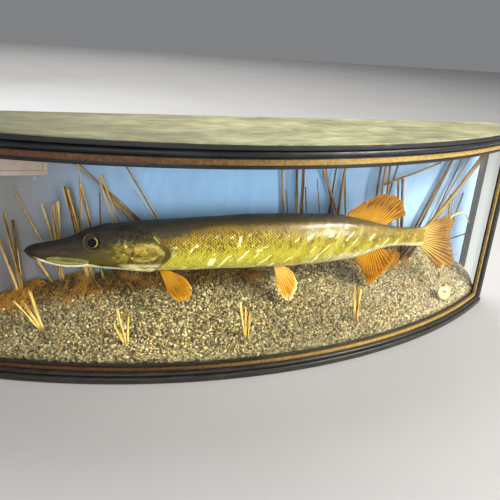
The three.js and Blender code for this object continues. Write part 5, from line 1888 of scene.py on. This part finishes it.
def addStraw():
    rng = np.random.default_rng(71)
    surface = makeMaterial("paleStraw", lambda tree: fillReed(tree, **strawColors), Roughness=0.5,
                           Specular_IOR_Level=0.3)
    for i, (y, stems) in enumerate(strawTufts):
        ground = groundUnder(stems, y)
        paths = []
        for x, lean, length, radius in stems:
            foot, tip = stemEnds(x, y, lean, length, ground + stemSpec["strawLift"])
            path = stemPath(rng, foot, tip, radius, 0.92)
            inward = path[[-1, -2, -3]].copy()   # back down inside, so the cut end is hollow
            inward[:, 3] *= (0.72, 0.7, 0.66)
            paths.append(np.concatenate([path, inward]))
        piece = tubesPiece(f"strawTuft{i + 1}", np.array(paths) * mm, stemSpec["strawSides"], True, 0.85)
        corners = (stemSpec["steps"] + 3) * stemSpec["strawSides"]
        paintValues(piece, "tone", np.repeat(rng.random(len(paths)), corners))
        settle(piece, surface, [f"ground_straw_tuft_{i + 1}"], 40)


# Shell and supports.

shellSpec = dict(x=242.6, y=-0.6, steps=110, sides=18, turns=3.2, outer=8.4, tube=2.7, growth=0.43, tilt=62,
                 above=8.2, cone=4.0,
                 flat=0.75)   # flat: how deep the shell is, as a share of a round one


def fillShell(tree):
    lines = noise(objectPlace(tree), 500, 3)
    color = ramp(lines, {0.3: (0.44, 0.34, 0.14), 0.7: (0.66, 0.55, 0.28)})
    color = tint(spread(attribute(tree, "along"), 0.92, 1.0, 0, 0.9), color, (0.50, 0.29, 0.05))
    return {"Base Color": color, "Normal": bump(lines, 0.2, 0.0003)}


# A coiled snail shell: a tube that widens along a flat spiral, lying tilted on the gravel.
def addShell():
    t = np.linspace(0, 1, shellSpec["steps"])
    turn, tilt = t * shellSpec["turns"] * 2 * math.pi, math.radians(shellSpec["tilt"])
    grow = np.exp((t - 1) * shellSpec["turns"] * shellSpec["growth"])
    x0, y0 = shellSpec["x"], shellSpec["y"]
    ground = float(bedHeight(np.array(float(x0)), np.array(float(y0))))
    flatX, flatY = [shellSpec["outer"] * grow * wave(turn) for wave in (np.cos, np.sin)]
    rise = (1 - grow) * shellSpec["cone"]
    y = y0 + flatY * math.cos(tilt) - rise * math.sin(tilt)
    z = ground + shellSpec["above"] + flatY * math.sin(tilt) + rise * math.cos(tilt)
    path = np.stack([x0 + flatX, y, z, shellSpec["tube"] * grow], axis=-1)[None]
    piece = tubesPiece("snailShell", path * mm, shellSpec["sides"])
    points = getPoints(piece)
    points[:, 1] = blend(y0 * mm, points[:, 1], shellSpec["flat"])
    setPoints(piece, points)
    surface = makeMaterial("snailShell", fillShell, Roughness=0.35, Coat_Weight=0.3)
    settle(piece, surface, ["ground_shell"], 60)


rods = dict(along=(-45, 91), height=103,
            shape=[(33.0, 2.4), (40, 2.1), (58.4, 2.1), (58.6, 2.5), (59.4, 2.5)])   # y and radius


def addSupports():
    def fill(tree):
        wear = noise(objectPlace(tree), 160, 4)
        return {"Base Color": ramp(wear, {0.35: (0.05, 0.045, 0.04), 0.65: (0.16, 0.13, 0.10)}),
                "Roughness": spread(wear, 0.3, 0.7, 0.35, 0.6)}

    surface = makeMaterial("wireSupport", fill, Metallic=0.8)
    for k, x in enumerate(rods["along"]):
        path = np.array([[x, y, rods["height"], radius] for y, radius in rods["shape"]])
        piece = tubesPiece(f"supportRod{k + 1}", path[None] * mm, 20, True)
        settle(piece, surface, [f"fish_support_{k + 1}"], 40)


print("studio")
addCamera()
addLamps()
addFloor()
print("case")
addBoards()
mouldingSet("top", topProfile())
mouldingSet("base", baseProfile())
addGlazing()
addLabel()
print("groundwork")
addBed()
addGravel()
addMoss()
addLitter()
addReeds()
addStraw()
addShell()
print("fish")
addFish()
addEyes()
addSupports()
